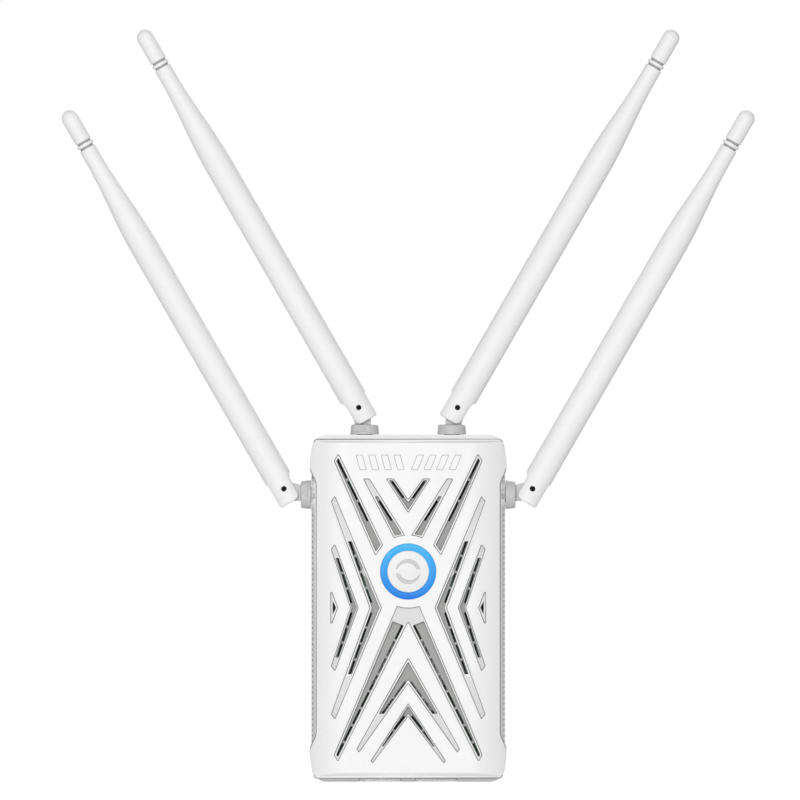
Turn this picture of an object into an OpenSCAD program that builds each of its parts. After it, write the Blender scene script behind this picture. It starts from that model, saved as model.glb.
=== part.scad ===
// Wall-plug wifi range extender with four folding aerials.
// +Z is up, +X is to the right seen from the front, and the front faces -Y.
// The origin is on the back face, midway between the two plug blades; y = 0 is the wall.

/* [Body] */
// Height of the body's middle relative to the plug
body_z = -6; // [-15:1:10]
// Depth from the wall to the front face
body_d = 36; // [34:1:44]
// Depth of the rear housing
housing_d = 15.5; // [15:0.5:17]
// Half width of the rear housing
housing_hw = 37.7; // [37:0.1:38]
// Half height of the rear housing
housing_hh = 67.7; // [67:0.1:70]
// Corner radius of the rear housing
housing_r = 6; // [3:0.5:8]
// Wall thickness of cover and housing
wall = 2.2; // [1.8:0.1:2.4]

/* [Front cover] */
// Largest half width of the cover
cover_hw = 38.3; // [38:0.1:39]
// Half width of the cover at its corners
corner_hw = 36.4; // [36:0.1:37]
// Half width of the cover at its waist
waist_hw = 36; // [35.5:0.1:36.5]
// Half height of the cover
cover_hh = 66.2; // [65:0.1:67]
// Half height where the waist is fully cut in
waist_hh = 48; // [44:1:50]
// Half height where the waist starts
shoulder_hh = 55; // [54.6:0.1:57]
// Half width of the flat middle of the front
flat_hw = 24; // [20:1:26]
// Radius of the front's curved sides
side_r = 20; // [18:1:24]
// Radius of the top and bottom front edges
lip_r = 1.5; // [1:0.1:2]

/* [Vents] */
// Depth of the shallow channels
channel_d = 0.8; // [0.4:0.1:1.2]
// Land between a channel's outline and its slot
slot_inset = 0.9; // [0.7:0.1:1]
// Width of the slits in the liner
slit_w = 0.85; // [0.6:0.05:1]
// Rib between two slits
slit_rib = 1; // [0.8:0.1:1.5]
// Thickness of the liner
liner_t = 1.2; // [1:0.1:1.5]
// Pitch of the side grilles' holes
hole_pitch = 2.1; // [2.1:0.1:2.6]
// Width of the side grilles' holes
hole_w = 1.2; // [0.8:0.1:1.3]

/* [Button and ring] */
// Height of the button above the body's middle
button_rise = 14.5; // [12:0.5:15]
// Outer radius of the light ring
ring_r = 10.75; // [10.5:0.05:10.8]
// Inner radius of the light ring
ring_bore_r = 8.3; // [8.25:0.05:8.4]
// Radius of the button
button_r = 8.2; // [8.1:0.05:8.2]
// Travel of the button
button_travel = 0.7; // [0.4:0.1:0.8]

/* [Aerials] */
// Distance of the top aerials from the middle
top_x = 17; // [14:0.5:19]
// Distance of the top aerials from the wall
top_depth = 8.5; // [8:0.5:9]
// Distance of the side aerials from the wall
side_depth = 22.4; // [22:0.1:22.8]
// Height of the side aerials above the body's middle
side_rise = 44.4; // [40:0.2:45]
// Distance of the side aerials' seats from the middle
side_x = 37.8; // [37.7:0.1:38]
// Height of the collar
collar_h = 4; // [3.5:0.1:4.2]
// Radius of the collar at its foot
collar_r = 5.65; // [5.5:0.05:5.7]
// Radius of the collar at its end
collar_end_r = 5.25; // [5:0.05:5.3]
// Height of the hinge pin above the collar's end
pin_rise = 6.65; // [6.6:0.05:7]
// Offset of the hinge pin from the swivel's axis
pin_offset = 2.3; // [2:0.1:2.5]
// Lean of every arm from the vertical
lean = 30; // [0:5:60]
// Length of the arm from its pin to its tip
arm_l = 170; // [150:5:180]
// Radius of the arm
arm_r = 5.4; // [5.3:0.05:5.5]
// Radius of the arm's thin end
neck_r = 3.33; // [3.3:0.01:3.4]
// Radius of the tip cap
cap_r = 3.3; // [3.2:0.05:3.3]
// Length of the tip cap
cap_l = 13.6; // [10:0.2:15]
// Length of each groove below the tip cap
groove_l = 0.9; // [0.6:0.1:1.2]
// Length of the ring between the two grooves
band_l = 1.25; // [1:0.05:1.5]

/* [Plug and sockets] */
// Distance between the plug blades
blade_pitch = 12.7; // [12.7:0.1:12.7]
// Thickness of a plug blade
blade_t = 1.5; // [1.5:0.1:1.5]
// Width of a plug blade
blade_w = 6.35; // [6.35:0.05:6.35]
// Length of a plug blade
blade_l = 16.5; // [16:0.1:18]
// Distance of a blade's hole from the wall
blade_hole_y = 11.9; // [11.9:0.1:11.9]
// Radius of a blade's hole
blade_hole_r = 1.6; // [1.5:0.1:1.6]
// Distance of the network sockets from the middle
jack_x = 11; // [10:0.5:12]
// Distance of the mode switch and the reset button from the middle
small_x = 28; // [27:0.5:28]

/* [Hidden] */

$fn = 64;
front_y = -body_d;
seam_y = -housing_d;
button_z = body_z + button_rise;
top_z = body_z + housing_hh;
bottom_z = body_z - housing_hh;
side_z = body_z + side_rise;
gap = 0.2;
running = 0.06;
eps = 0.01;
side_angle = 90 - lean;

// side grilles
grille_front_y = front_y + 6.9;
grille_hh = 54.4;
grille_t = 1.6;
grille_front_x = 36.3;
pad_r = 6.3;

// screws, bosses and boards
screw_x = 31;
screw_z = [59, -47];
boss_r = 4.4;
post_r = 3.2;
boss_floor_y = -9.2;
board_t = 1.6;
main_y = seam_y + 0.3;
main_hw = 31;
stand_x = 27;
stand_z = [40, -22];
power_y = -3;
led_board_y = front_y + 9.4;
led_board_t = 1;
led_post = [[15.8, 0], [-15.8, 0], [0, -16.5]];

// sockets in the bottom
jack_w = 16;
jack_h = 11.5;
jack_l = 15.5;
jack_y = main_y;
slider_y = -11.5;
reset_y = -9.5;

// knuckle
shaft_r = 3;
clip_r = 4;
ear_drop = 6.15;
ear_fold_x = 4.05;
ear_corner_r = 2.7;
fork_hw = 2;
fork_root = 4.2;
tongue_hw = 1.75;
eye_r = 3.2;
pin_r = 1;
sleeve_l = arm_l - cap_l - 2 * groove_l - band_l;
taper_top = arm_l - 21;
taper_bottom = arm_l - 61;
taper_steps = 14;

// channel outlines, [x, z] from the button's centre, left half
chan_a = [[-27.2, 46.1], [-9.8, 10.4], [-12.8, 6.1], [-28.9, 43.1]];
chan_b = [[-17.6, 36.2], [-15.1, 36.2], [0, 12.2], [-5, 12]];
chan_d = [[-28.5, 29.6], [-10.3, -14.1], [-28.5, -57.8], [-30.1, -55.5], [-15, -14.1], [-30.1, 27.3]];
chan_e = [[-28.5, 10.8], [-19.4, -14.1], [-28.5, -39], [-30.1, -36.9], [-22.6, -14.1], [-30.1, 8.7]];
chan_f = [[-30.1, -7], [-27.4, -14.1], [-30.1, -21.2]];
// channel outlines that cross the middle
chan_c = [[-8.7, 36.2], [-5.7, 36.2], [0, 28.1], [5.7, 36.2], [8.7, 36.2], [0, 22.8]];
chan_g = [[0, -3], [-28.9, -71.4], [-27.4, -74.2], [0, -19.5], [27.4, -74.2], [28.9, -71.4]];
chan_h = [[0, -33.4], [-20.1, -69], [-19.2, -70.6], [0, -43.6], [19.2, -70.6], [20.1, -69]];
chan_i = [[0, -51.2], [-14.6, -73.7], [-13.9, -74.8], [0, -56.4], [13.9, -74.8], [14.6, -73.7]];
// stretches of the channels that open into slots
slot_b = [[-14.4, 30.1], [-11.3, 30.1], [-1.1, 14], [-5.6, 13.1]];
slot_d = [[-24.7, 12.6], [-21.4, 12.6], [-10.3, -14.1], [-21.4, -40.8], [-24.7, -40.8], [-15, -14.1]];
slot_e = [[-29.2, 5.9], [-26.7, 5.9], [-19.4, -14.1], [-26.7, -34.1], [-29.2, -34.1], [-22.6, -14.1]];
slot_f = [[-30, -11.1], [-28.9, -11.1], [-27.4, -14.1], [-28.9, -17.1], [-30, -17.1]];
slot_g = [[-6.6, -18.3], [-0.6, -20.6], [-27.4, -74.2], [-28.9, -71.4]];
slot_h = [[0, -33.4], [-12.9, -56.2], [-9, -56.2], [0, -43.6], [9, -56.2], [12.9, -56.2]];
slot_i = [[0, -51.2], [-11.4, -68.7], [-9.3, -68.7], [0, -56.4], [9.3, -68.7], [11.4, -68.7]];
// rows of slits: start, end, how many, and how far to the left of that line they lie
slit_rows = [
    [[-26.4, 44.2], [-14.6, 20.2], 3, -1.32],
    [[-10.2, 28.2], [-5.3, 20.5], 1, -1.32],
    [[-5.4, 35.7], [-0.9, 29.3], 1, -1.12],
    [[-24, 11.4], [-15.6, -12.6], 4, 1.32],
    [[-24, -39.6], [-15.6, -15.6], 4, -1.32],
    [[-28.4, 4.8], [-23.1, -12.6], 3, 1.08],
    [[-28.4, -33], [-23.1, -15.6], 3, -1.08],
    [[-28.9, -12.2], [-28.9, -16], 1, 0],
    [[-0.9, -21.2], [-27, -73.2], 8, -1.32],
    [[0.1, -43.8], [-9, -56.2], 2, -1.32],
    [[-0.6, -57], [-9.2, -68], 2, -1.06],
];
ring_gap_r = 14.1;

// signed area, corner inset and tangent point of plane outlines
function area(p) = 0.5 * sum([
    for (i = [0:len(p) - 1]) let (q = p[(i + 1) % len(p)]) p[i].x * q.y - q.x * p[i].y
]);
function sum(v, i = 0) = i < len(v) ? v[i] + sum(v, i + 1) : 0;
function unit(v) = v / norm(v);
function left(v) = [-v.y, v.x];
function inset(p, d) = let (n = len(p), s = sign(area(p))) [
    for (i = [0:n - 1])
        let (
            a = s * left(unit(p[i] - p[(i + n - 1) % n])),
            b = s * left(unit(p[(i + 1) % n] - p[i]))
        )
        p[i] + d * (a + b) / (1 + a * b)
];
function tangent(p, c, r, side) = let (
    d = norm(c - p),
    a = atan2(c.y - p.y, c.x - p.x) + side * asin(r / d)
) p + sqrt(d * d - r * r) * [cos(a), sin(a)];

// right half of the cover's outline from the top down to the middle, inset by d
function cover_side(d) = concat(
    [[corner_hw - d - 1.5, cover_hh - d], [corner_hw - d - 0.4, cover_hh - d - 0.4]],
    [
        for (t = [1:-0.25:0])
            let (z = shoulder_hh + t * (cover_hh - 1.5 - shoulder_hh))
            [cover_hw - d - (cover_hw - corner_hw) * pow((z - shoulder_hh) / (cover_hh - shoulder_hh), 2),
                z - d * t]
    ],
    [
        for (t = [0.2:0.2:1])
            [waist_hw - d + (cover_hw - waist_hw) * (1 + cos(180 * t)) / 2,
                shoulder_hh + t * (waist_hh - shoulder_hh)]
    ]
);
function mirror_x(p) = [for (i = [len(p) - 1:-1:0]) [-p[i].x, p[i].y]];
function mirror_y(p) = [for (i = [len(p) - 1:-1:0]) [p[i].x, -p[i].y]];

// extrudes an [x, z] outline from y0 to y1
module slab(y0, y1, z = 0) {
    translate([0, y1, z])
        rotate([90, 0, 0])
            linear_extrude(y1 - y0) children();
}

// a box between two corners
module box(a, b) {
    translate(a) cube(b - a);
}

// a cylinder along +Y from y0 to y1
module rod_y(x, z, r, y0, y1) {
    translate([x, y0, z]) rotate([-90, 0, 0]) cylinder(h = y1 - y0, r = r);
}

// a cylinder between two points
module rod(a, b, r) {
    d = b - a;
    translate(a)
        rotate([0, acos(d.z / norm(d)), atan2(d.y, d.x)])
            cylinder(h = norm(d), r = r);
}

// a wire through a list of points, with a slightly fuller bead at each bend
module wire(points, r) {
    for (i = [0:len(points) - 2]) rod(points[i], points[i + 1], r);
    for (i = [1:len(points) - 2]) translate(points[i]) sphere(r * 1.08);
}

module both_sides() {
    children();
    mirror([1, 0]) children();
}

// the cover's outer form, inset by d and open to the rear
module form(d) {
    side = cover_side(d);
    right = concat(side, mirror_y(side));
    lip = max(lip_r - d, 0.3);
    back_y = seam_y - gap + (d > 0 ? 1 : 0);
    intersection() {
        slab(front_y + d, back_y, body_z) polygon(concat(right, mirror_x(right)));
        translate([0, 0, body_z - 100])
            linear_extrude(200) {
                translate([-flat_hw, front_y + d]) square([2 * flat_hw, body_d]);
                translate([-50, front_y + side_r]) square([100, body_d]);
                for (s = [-1, 1]) translate([s * flat_hw, front_y + side_r]) circle(side_r - d, $fn = 128);
            }
        translate([-50, 0, body_z])
            rotate([90, 0, 90])
                linear_extrude(100) {
                    translate([front_y + d + lip, d - cover_hh]) square([body_d, 2 * (cover_hh - d)]);
                    translate([front_y + d, d - cover_hh + lip]) square([body_d, 2 * (cover_hh - d - lip)]);
                    for (s = [-1, 1]) translate([front_y + d + lip, s * (cover_hh - d - lip)]) circle(lip);
                }
    }
}

// all shallow channels, cut off round the ring
module channels() {
    difference() {
        union() {
            both_sides() {
                polygon(chan_a);
                polygon(chan_b);
                polygon(chan_d);
                polygon(chan_e);
                polygon(chan_f);
            }
            polygon(chan_c);
            polygon(chan_g);
            polygon(chan_h);
            polygon(chan_i);
        }
        circle(ring_gap_r);
    }
}

// all slots
module slots() {
    both_sides() {
        polygon(inset(chan_a, slot_inset));
        polygon(inset(slot_b, slot_inset));
        polygon(inset(slot_d, slot_inset));
        polygon(inset(slot_e, slot_inset * 0.75));
        polygon(inset(slot_f, slot_inset * 0.75));
        polygon(inset(slot_g, slot_inset));
    }
    polygon(inset(chan_c, slot_inset * 0.8));
    polygon(inset(slot_h, slot_inset));
    polygon(inset(slot_i, slot_inset * 0.75));
}

// all slits in the liner
module slits() {
    both_sides()
        for (row = slit_rows) {
            along = unit(row[1] - row[0]);
            slit_l = (norm(row[1] - row[0]) - (row[2] - 1) * slit_rib) / row[2];
            for (i = [0:row[2] - 1])
                translate(row[0] + i * (slit_l + slit_rib) * along + row[3] * left(along))
                    rotate(atan2(along.y, along.x))
                        translate([0, -slit_w / 2]) square([slit_l, slit_w]);
        }
}

// ---- casing ----

module front_cover() {
    color("white")
        difference() {
            union() {
                difference() {
                    form(0);
                    form(wall);
                    difference() {
                        slab(front_y - 1, grille_front_y, button_z) channels();
                        form(channel_d);
                    }
                    slab(front_y - 1, grille_front_y, button_z) slots();
                    for (s = [-1, 1])
                        box([s > 0 ? 33.5 : -50, grille_front_y - gap, body_z - grille_hh - gap],
                            [s > 0 ? 50 : -33.5, 0, body_z + grille_hh + gap]);
                }
                intersection() {
                    form(1);
                    union() {
                        for (s = [-1, 1], z = screw_z)
                            rod_y(s * screw_x, body_z + z, post_r, front_y, seam_y + 2.4);
                        for (p = led_post)
                            rod_y(p.x, button_z + p.y, 1.9, front_y, led_board_y - led_board_t);
                    }
                }
                // generic raised badge: a row of slanted bars
                for (s = [-1, 1], i = [0:3])
                    translate([s * (3.6 + i * 4.9), front_y + 0.1, button_z + 42.5])
                        rotate([90, 0, 0])
                            linear_extrude(0.35)
                                polygon([[-1.5 - s, -2.9], [1.1 - s, -2.9], [1.5 + s, 2.9], [-1.1 + s, 2.9]]);
            }
            rod_y(0, button_z, ring_r + 0.1, front_y - 1, front_y + 5);
            for (s = [-1, 1], z = screw_z)
                rod_y(s * screw_x, body_z + z, 1.4, front_y + 8, 0);
            for (p = led_post)
                rod_y(p.x, button_z + p.y, 0.9, front_y + 4, 0);
        }
}

// right half of the front's inner curve, [x, y], as flats 5 degrees apart
function front_curve(d) = [
    for (t = [0:5:25])
        [flat_hw + (side_r - d) * sin(t), front_y + side_r - (side_r - d) * cos(t)]
];

module vent_liner() {
    outer = front_curve(wall + 0.1);
    inner = front_curve(wall + 0.1 + liner_t);
    color("darkgray")
        difference() {
            translate([0, 0, button_z - 77])
                linear_extrude(124)
                    polygon(concat(
                        mirror_x(outer), outer,
                        [for (i = [len(inner) - 1:-1:0]) inner[i]],
                        [for (p = inner) [-p.x, p.y]]
                    ));
            slab(front_y, front_y + 9, button_z) slits();
            rod_y(0, button_z, 13.2, front_y, 0);
            for (s = [-1, 1], z = screw_z)
                rod_y(s * screw_x, body_z + z, post_r + 0.4, front_y, 0);
            for (p = led_post)
                rod_y(p.x, button_z + p.y, 2.1, front_y, 0);
        }
}

module round_rect(hw, hh, r) {
    square([2 * (hw - r), 2 * hh], center = true);
    square([2 * hw, 2 * (hh - r)], center = true);
    for (x = [-1, 1], z = [-1, 1]) translate([x * (hw - r), z * (hh - r)]) circle(r);
}

module rear_housing() {
    color("gainsboro")
        difference() {
            union() {
                difference() {
                    slab(seam_y, 0, body_z) round_rect(housing_hw, housing_hh, housing_r);
                    slab(seam_y - 1, -wall, body_z)
                        round_rect(housing_hw - wall, housing_hh - wall, housing_r - wall);
                }
                for (s = [-1, 1], z = screw_z)
                    rod_y(s * screw_x, body_z + z, boss_r, -12.9, -1);
                for (s = [-1, 1], z = stand_z)
                    rod_y(s * stand_x, body_z + z, 2.6, main_y, -1);
                for (s = [-1, 1])
                    rod_y(s * 18, body_z + 50, 2, power_y + eps, -1);
                rod_y(0, body_z + 22, 2, power_y + eps, -1);
                // swivel stops
                for (s = [-1, 1])
                    translate([s * top_x, -top_depth, top_z])
                        rotate([0, 0, s > 0 ? 0 : 180]) swivel_stop();
            }
            for (s = [-1, 1], z = screw_z) {
                rod_y(s * screw_x, body_z + z, 3.1, boss_floor_y, 1);
                rod_y(s * screw_x, body_z + z, 1.6, -20, 1);
            }
            for (s = [-1, 1], z = stand_z)
                rod_y(s * stand_x, body_z + z, 1.1, -20, -6);
            for (s = [-1, 1])
                translate([s * top_x, -top_depth, top_z - 5]) cylinder(h = 10, r = shaft_r + running);
            box([-15, -5, -12], [15, 1, 12]);
            // sockets, mode switch and reset hole in the bottom
            for (s = [-1, 1])
                box([s * jack_x - jack_w / 2 - gap, seam_y - 1, bottom_z - 1],
                    [s * jack_x + jack_w / 2 + gap, jack_y + jack_h + gap, bottom_z + wall + 1]);
            box([-small_x - 3.8, slider_y - 1.3, bottom_z - 1], [-small_x + 3.8, slider_y + 1.3, bottom_z + 3]);
            translate([small_x, reset_y, bottom_z - 1]) cylinder(h = 5, r = 1);
        }
}

// stop block on the inner face of a swivel's seat
module swivel_stop() {
    box([-6, -0.8, -4.7], [-4.3, 0.8, -1.5]);
}

module grille(side) {
    color("gainsboro")
        difference() {
            union() {
                difference() {
                    translate([0, 0, body_z - grille_hh])
                        linear_extrude(2 * grille_hh)
                            polygon([
                                [side * (grille_front_x - grille_t), grille_front_y],
                                [side * grille_front_x, grille_front_y],
                                [side * housing_hw, seam_y - gap],
                                [side * (housing_hw - grille_t), seam_y - gap]
                            ]);
                    // rows of hexagonal holes, left solid round the aerial's seat
                    for (row = [0:3], i = [-24:24]) {
                        y = grille_front_y + 1.9 + row * 3.2;
                        z = body_z + (i + (row % 2) / 2) * hole_pitch;
                        if (norm([y + side_depth, z - side_z]) > pad_r + hole_w)
                            translate([side * 30, y, z])
                                rotate([0, side * 90, 0]) cylinder(h = 10, r = hole_w / 2, $fn = 6);
                    }
                    // room for the clip behind the aerial's seat
                    translate([side * 30, -side_depth, side_z])
                        rotate([0, side * 90, 0]) cylinder(h = side_x - wall - 30, r = clip_r + 0.4);
                }
                translate([side * (side_x - wall), -side_depth, side_z])
                    rotate([0, side * 90, 0]) cylinder(h = wall, r = pad_r);
                side_place(side) swivel_stop();
            }
            translate([side * 30, -side_depth, side_z])
                rotate([0, side * 90, 0]) cylinder(h = 20, r = shaft_r + running);
        }
}

module left_grille() {
    grille(-1);
}

module right_grille() {
    grille(1);
}

module case_screws() {
    color("silver")
        for (s = [-1, 1], z = screw_z) {
            rod_y(s * screw_x, body_z + z, 1.35, -24, boss_floor_y);
            difference() {
                rod_y(s * screw_x, body_z + z, 2.8, boss_floor_y, boss_floor_y + 2.2);
                for (turn = [0, 90])
                    translate([s * screw_x, boss_floor_y + 2.2, body_z + z])
                        rotate([0, turn, 0]) cube([3.4, 2.4, 0.7], center = true);
            }
        }
}

// ---- plug ----

module plug_insert() {
    color("whitesmoke")
        difference() {
            union() {
                box([-14.9, -6, -11.9], [14.9, 0, 11.9]);
                box([-17, -3.8, -14], [17, -wall - 0.05, 14]);
            }
            for (s = [-1, 1])
                translate([s * blade_pitch / 2, 0, 0]) cube([blade_t, 20, blade_w], center = true);
        }
}

module plug_blades() {
    color("goldenrod")
        for (s = [-1, 1])
            difference() {
                translate([s * blade_pitch / 2, 0, 0])
                    rotate([0, 90, 0])
                        linear_extrude(blade_t, center = true)
                            polygon([
                                [-blade_w / 2, -8], [-blade_w / 2, blade_l - 1.6], [-blade_w / 2 + 1.4, blade_l],
                                [blade_w / 2 - 1.4, blade_l], [blade_w / 2, blade_l - 1.6], [blade_w / 2, -8]
                            ]);
                translate([s * blade_pitch / 2, blade_hole_y, 0])
                    rotate([0, 90, 0]) cylinder(h = 5, r = blade_hole_r, center = true);
            }
}

// ---- button, ring and their board ----

module light_ring() {
    color("deepskyblue")
        difference() {
            union() {
                rod_y(0, button_z, ring_r, front_y - 0.1, front_y + 6.4);
                rod_y(0, button_z, 12.6, front_y + wall + 0.05, front_y + wall + 1.2);
            }
            rod_y(0, button_z, ring_bore_r, front_y - 1, front_y + 8);
            rod_y(0, button_z, 9.1, front_y + 3, front_y + 8);
        }
}

module sync_button() {
    color("white")
        difference() {
            union() {
                rod_y(0, button_z, button_r, front_y - 0.2, front_y + 3.4);
                rod_y(0, button_z, 8.8, front_y + 3.1, front_y + 4.2);
                rod_y(0, button_z, 2.4, front_y + 3, front_y + 5.6);
            }
            difference() {
                rod_y(0, button_z, 7, front_y + 1.6, front_y + 5);
                rod_y(0, button_z, 2.4, front_y, front_y + 6);
            }
            // engraved pair of chasing crescents
            slab(front_y - 1, front_y + 0.15, button_z)
                for (turn = [0, 180])
                    rotate(turn)
                        difference() {
                            circle(4.8);
                            translate([-0.5, -0.9]) circle(4.3);
                            translate([-6, -6]) square([12, 6.9]);
                        }
        }
}

module sync_plunger() {
    color("black")
        rod_y(0, button_z, 1.7, front_y + 5.6, led_board_y - led_board_t - 0.9);
}

module sync_switch() {
    color("dimgray")
        difference() {
            translate([-3.1, front_y + 6.4, button_z - 3.1])
                cube([6.2, led_board_y - led_board_t - front_y - 6.4, 6.2]);
            rod_y(0, button_z, 1.7 + running, front_y, led_board_y - led_board_t - 0.15);
        }
}

module led_board() {
    color("darkgreen")
        difference() {
            rod_y(0, button_z, 18, led_board_y - led_board_t, led_board_y);
            for (p = led_post) rod_y(p.x, button_z + p.y, 1, -40, 0);
        }
}

module ring_leds() {
    color("lightyellow")
        for (a = [30:60:359])
            translate([9.9 * cos(a), led_board_y - led_board_t - 1.4, button_z + 9.9 * sin(a)])
                rotate([0, -a, 0]) translate([-1, 0, -1.4]) cube([2, 1.4, 2.8]);
}

module led_board_screws() {
    color("silver")
        for (p = led_post) {
            rod_y(p.x, button_z + p.y, 0.85, led_board_y - 4.5, led_board_y);
            rod_y(p.x, button_z + p.y, 1.8, led_board_y, led_board_y + 1.2);
        }
}

// ---- main board ----

module main_board() {
    color("darkgreen")
        difference() {
            box([-main_hw, main_y - board_t, body_z - 61.5], [main_hw, main_y, body_z + 50]);
            for (s = [-1, 1]) {
                rod_y(s * screw_x, body_z + screw_z[1], boss_r + 0.4, -20, 0);
                for (z = stand_z) rod_y(s * stand_x, body_z + z, 1.2, -20, 0);
            }
        }
}

module board_screws() {
    color("silver")
        for (s = [-1, 1], z = stand_z) {
            rod_y(s * stand_x, body_z + z, 1.05, main_y - board_t, -8);
            rod_y(s * stand_x, body_z + z, 2.3, main_y - board_t - 1.6, main_y - board_t);
        }
}

module on_main(x, z, w, h, t) {
    translate([x - w / 2, main_y - board_t - t, z - h / 2]) cube([w, t, h]);
}

module rf_shields() {
    color("silver")
        for (s = [-1, 1]) on_main(s * 12.5, 31, 22, 20, 2.6);
}

module processor() {
    color("black")
        on_main(0, -32, 14, 14, 1.2);
}

module heat_sink() {
    color("gray")
        translate([0, main_y - board_t - 1.2, -32]) {
            box([-14, -1.8, -14], [14, 0, 14]);
            for (i = [-4:4])
                translate([i * 3.2 - 0.5, -6.2, -14]) cube([1, 4.5, 28]);
        }
}

module memory_chips() {
    color("black") {
        on_main(-20, -8, 8, 10, 1);
        on_main(20, -10, 9, 12, 1);
        on_main(21, -34, 6, 6, 1);
    }
}

// ---- power supply ----

module power_board() {
    color("tan")
        box([-23, power_y - board_t, body_z + 21], [23, power_y, body_z + 54]);
}

module transformer() {
    color("khaki")
        translate([-9, power_y - board_t, body_z + 38]) {
            box([-8, -9.6, -2.5], [8, 0, 2.5]);
            box([-6, -8.2, -8], [6, -1.4, 8]);
        }
}

module capacitors() {
    color("navy") {
        translate([6, power_y - board_t - 4.2, body_z + 24])
            cylinder(h = 14, r = 4);
        translate([15.5, power_y - board_t - 4.2, body_z + 24])
            cylinder(h = 14, r = 4);
        translate([10, power_y - board_t - 3.3, body_z + 42])
            cylinder(h = 10, r = 3.1);
    }
}

module fuse() {
    color("ivory")
        translate([-19, power_y - board_t - 2.2, body_z + 24])
            rotate([0, 90, 0]) {
                translate([0, 0, -3]) cylinder(h = 10, r = 1.8);
                for (z = [-3.2, 5.2]) translate([0, 0, z]) cylinder(h = 2, r = 2.1);
            }
}

module mains_leads() {
    color("firebrick")
        for (s = [-1, 1])
            wire([
                [s * blade_pitch / 2, -9, 1], [s * blade_pitch / 2, -9.4, 6],
                [s * 8.5, -9.2, 11], [s * 9, -5.4, 16.5]
            ], 0.7);
}

// ---- aerial leads ----

module antenna_leads() {
    color("dimgray") {
        for (s = [-1, 1]) {
            wire([
                [s * top_x, -top_depth, top_z - 5.2], [s * top_x, -top_depth - 1, top_z - 9],
                [s * (top_x - 6), -18.5, top_z - 13], [s * (top_x - 8), -19.6, top_z - 19]
            ], 0.55);
            wire([
                [s * (side_x - 5.2), -side_depth, side_z], [s * (side_x - 8), -side_depth - 0.6, side_z],
                [s * 27.4, -22, side_z - 5], [s * 27, -19.4, side_z - 14]
            ], 0.55);
            rod_y(s * (top_x - 8), top_z - 19, 1.3, -20.4, -19.6 + eps);
            rod_y(s * 27, side_z - 14, 1.3, -19.6, main_y - board_t);
        }
    }
}

// ---- sockets and small controls in the bottom ----

module ethernet_jacks() {
    color("silver")
        for (s = [-1, 1])
            translate([s * jack_x, jack_y, bottom_z + 0.1])
                difference() {
                    translate([-jack_w / 2, 0, 0]) cube([jack_w, jack_h, jack_l]);
                    translate([-5.9, 2.6, -1]) cube([11.8, 7, 13.8]);
                    translate([-3.2, 1, -1]) cube([6.4, 3, 10]);
                }
}

module jack_contacts() {
    color("gold")
        for (s = [-1, 1], i = [-3.5:1:3.5])
            translate([s * jack_x + i * 1.02 - 0.2, jack_y + 9.25, bottom_z + 2.5]) cube([0.4, 0.35, 10.4]);
}

module reset_button() {
    color("black")
        translate([small_x, reset_y, bottom_z + wall + 0.4]) cylinder(h = 3.6, r = 1.4);
}

module reset_switch() {
    color("dimgray")
        difference() {
            box([small_x - 2.8, main_y, bottom_z + wall + 1.6], [small_x + 2.8, -7, bottom_z + wall + 6.4]);
            translate([small_x, reset_y, bottom_z]) cylinder(h = wall + 4.8, r = 1.4 + running);
        }
}

module mode_slider() {
    color("black") {
        box([-small_x - 1.4, slider_y - 1, bottom_z + 0.3], [-small_x + 1.4, slider_y + 1, bottom_z + wall + 1.6]);
        box([-small_x - 2.4, slider_y - 1.2, bottom_z + wall + 1.3],
            [-small_x + 2.4, slider_y + 1.2, bottom_z + wall + 2.6]);
    }
}

module mode_switch() {
    color("silver")
        difference() {
            box([-small_x - 5.1, main_y, bottom_z + wall + 0.4], [-small_x + 5.1, -8, bottom_z + wall + 5]);
            box([-small_x - 4.6, slider_y - 1.3, bottom_z + wall + 1.1],
                [-small_x + 4.6, slider_y + 1.3, bottom_z + wall + 2.8]);
            box([-small_x - 3.8, slider_y - 1.15, bottom_z], [-small_x + 3.8, slider_y + 1.15, bottom_z + wall + 2]);
        }
}

// ---- aerials ----
// A seat's frame has +Z along the swivel's axis and +X towards the side the arm folds to.

module top_place(side) {
    translate([side * top_x, -top_depth, top_z])
        rotate([0, 0, side > 0 ? 0 : 180]) children();
}

module side_place(side) {
    translate([side * side_x, -side_depth, side_z])
        rotate([0, 0, side > 0 ? 0 : 180])
            mirror([1, 0, -1]) children();
}

// the arm's frame has its origin on the hinge pin and +Z towards the tip
module on_pin(angle) {
    translate([pin_offset, 0, collar_h + pin_rise]) rotate([0, angle, 0]) children();
}

module swivel() {
    eye = [pin_offset, collar_h + pin_rise];
    back = [-2.4, collar_h + 3.2];
    fold = [3.7, collar_h];
    color("lightgray")
        difference() {
            union() {
                translate([0, 0, 0.15]) cylinder(h = collar_h - 0.15, r1 = collar_r, r2 = collar_end_r);
                translate([0, 0, -4.8]) cylinder(h = 6, r = shaft_r);
                box([2.4, -0.8, -4.7], [5.2, 0.8, -3.8]);
                translate([0, tongue_hw, 0])
                    rotate([90, 0, 0])
                        linear_extrude(2 * tongue_hw) {
                            translate(eye) circle(eye_r);
                            polygon([
                                [back.x, 3], back, tangent(back, eye, eye_r, 1), eye,
                                tangent(fold, eye, eye_r, -1), fold, [fold.x, 3]
                            ]);
                        }
            }
            // thumb flat at the collar's end
            rotate([0, 0, -18]) translate([-4, 4.6, 1.35]) cube([8, 3, 4]);
            // groove for the clip
            difference() {
                translate([0, 0, -3.55]) cylinder(h = 1.1, r = 4);
                translate([0, 0, -4]) cylinder(h = 2, r = 2.5);
            }
            // way for the coaxial lead and bore for the hinge pin
            translate([-1.2, 0, -6]) cylinder(h = 20, r = 0.8);
            translate([eye.x, -5, eye.y]) rotate([-90, 0, 0]) cylinder(h = 10, r = pin_r + 0.05);
        }
}

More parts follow.
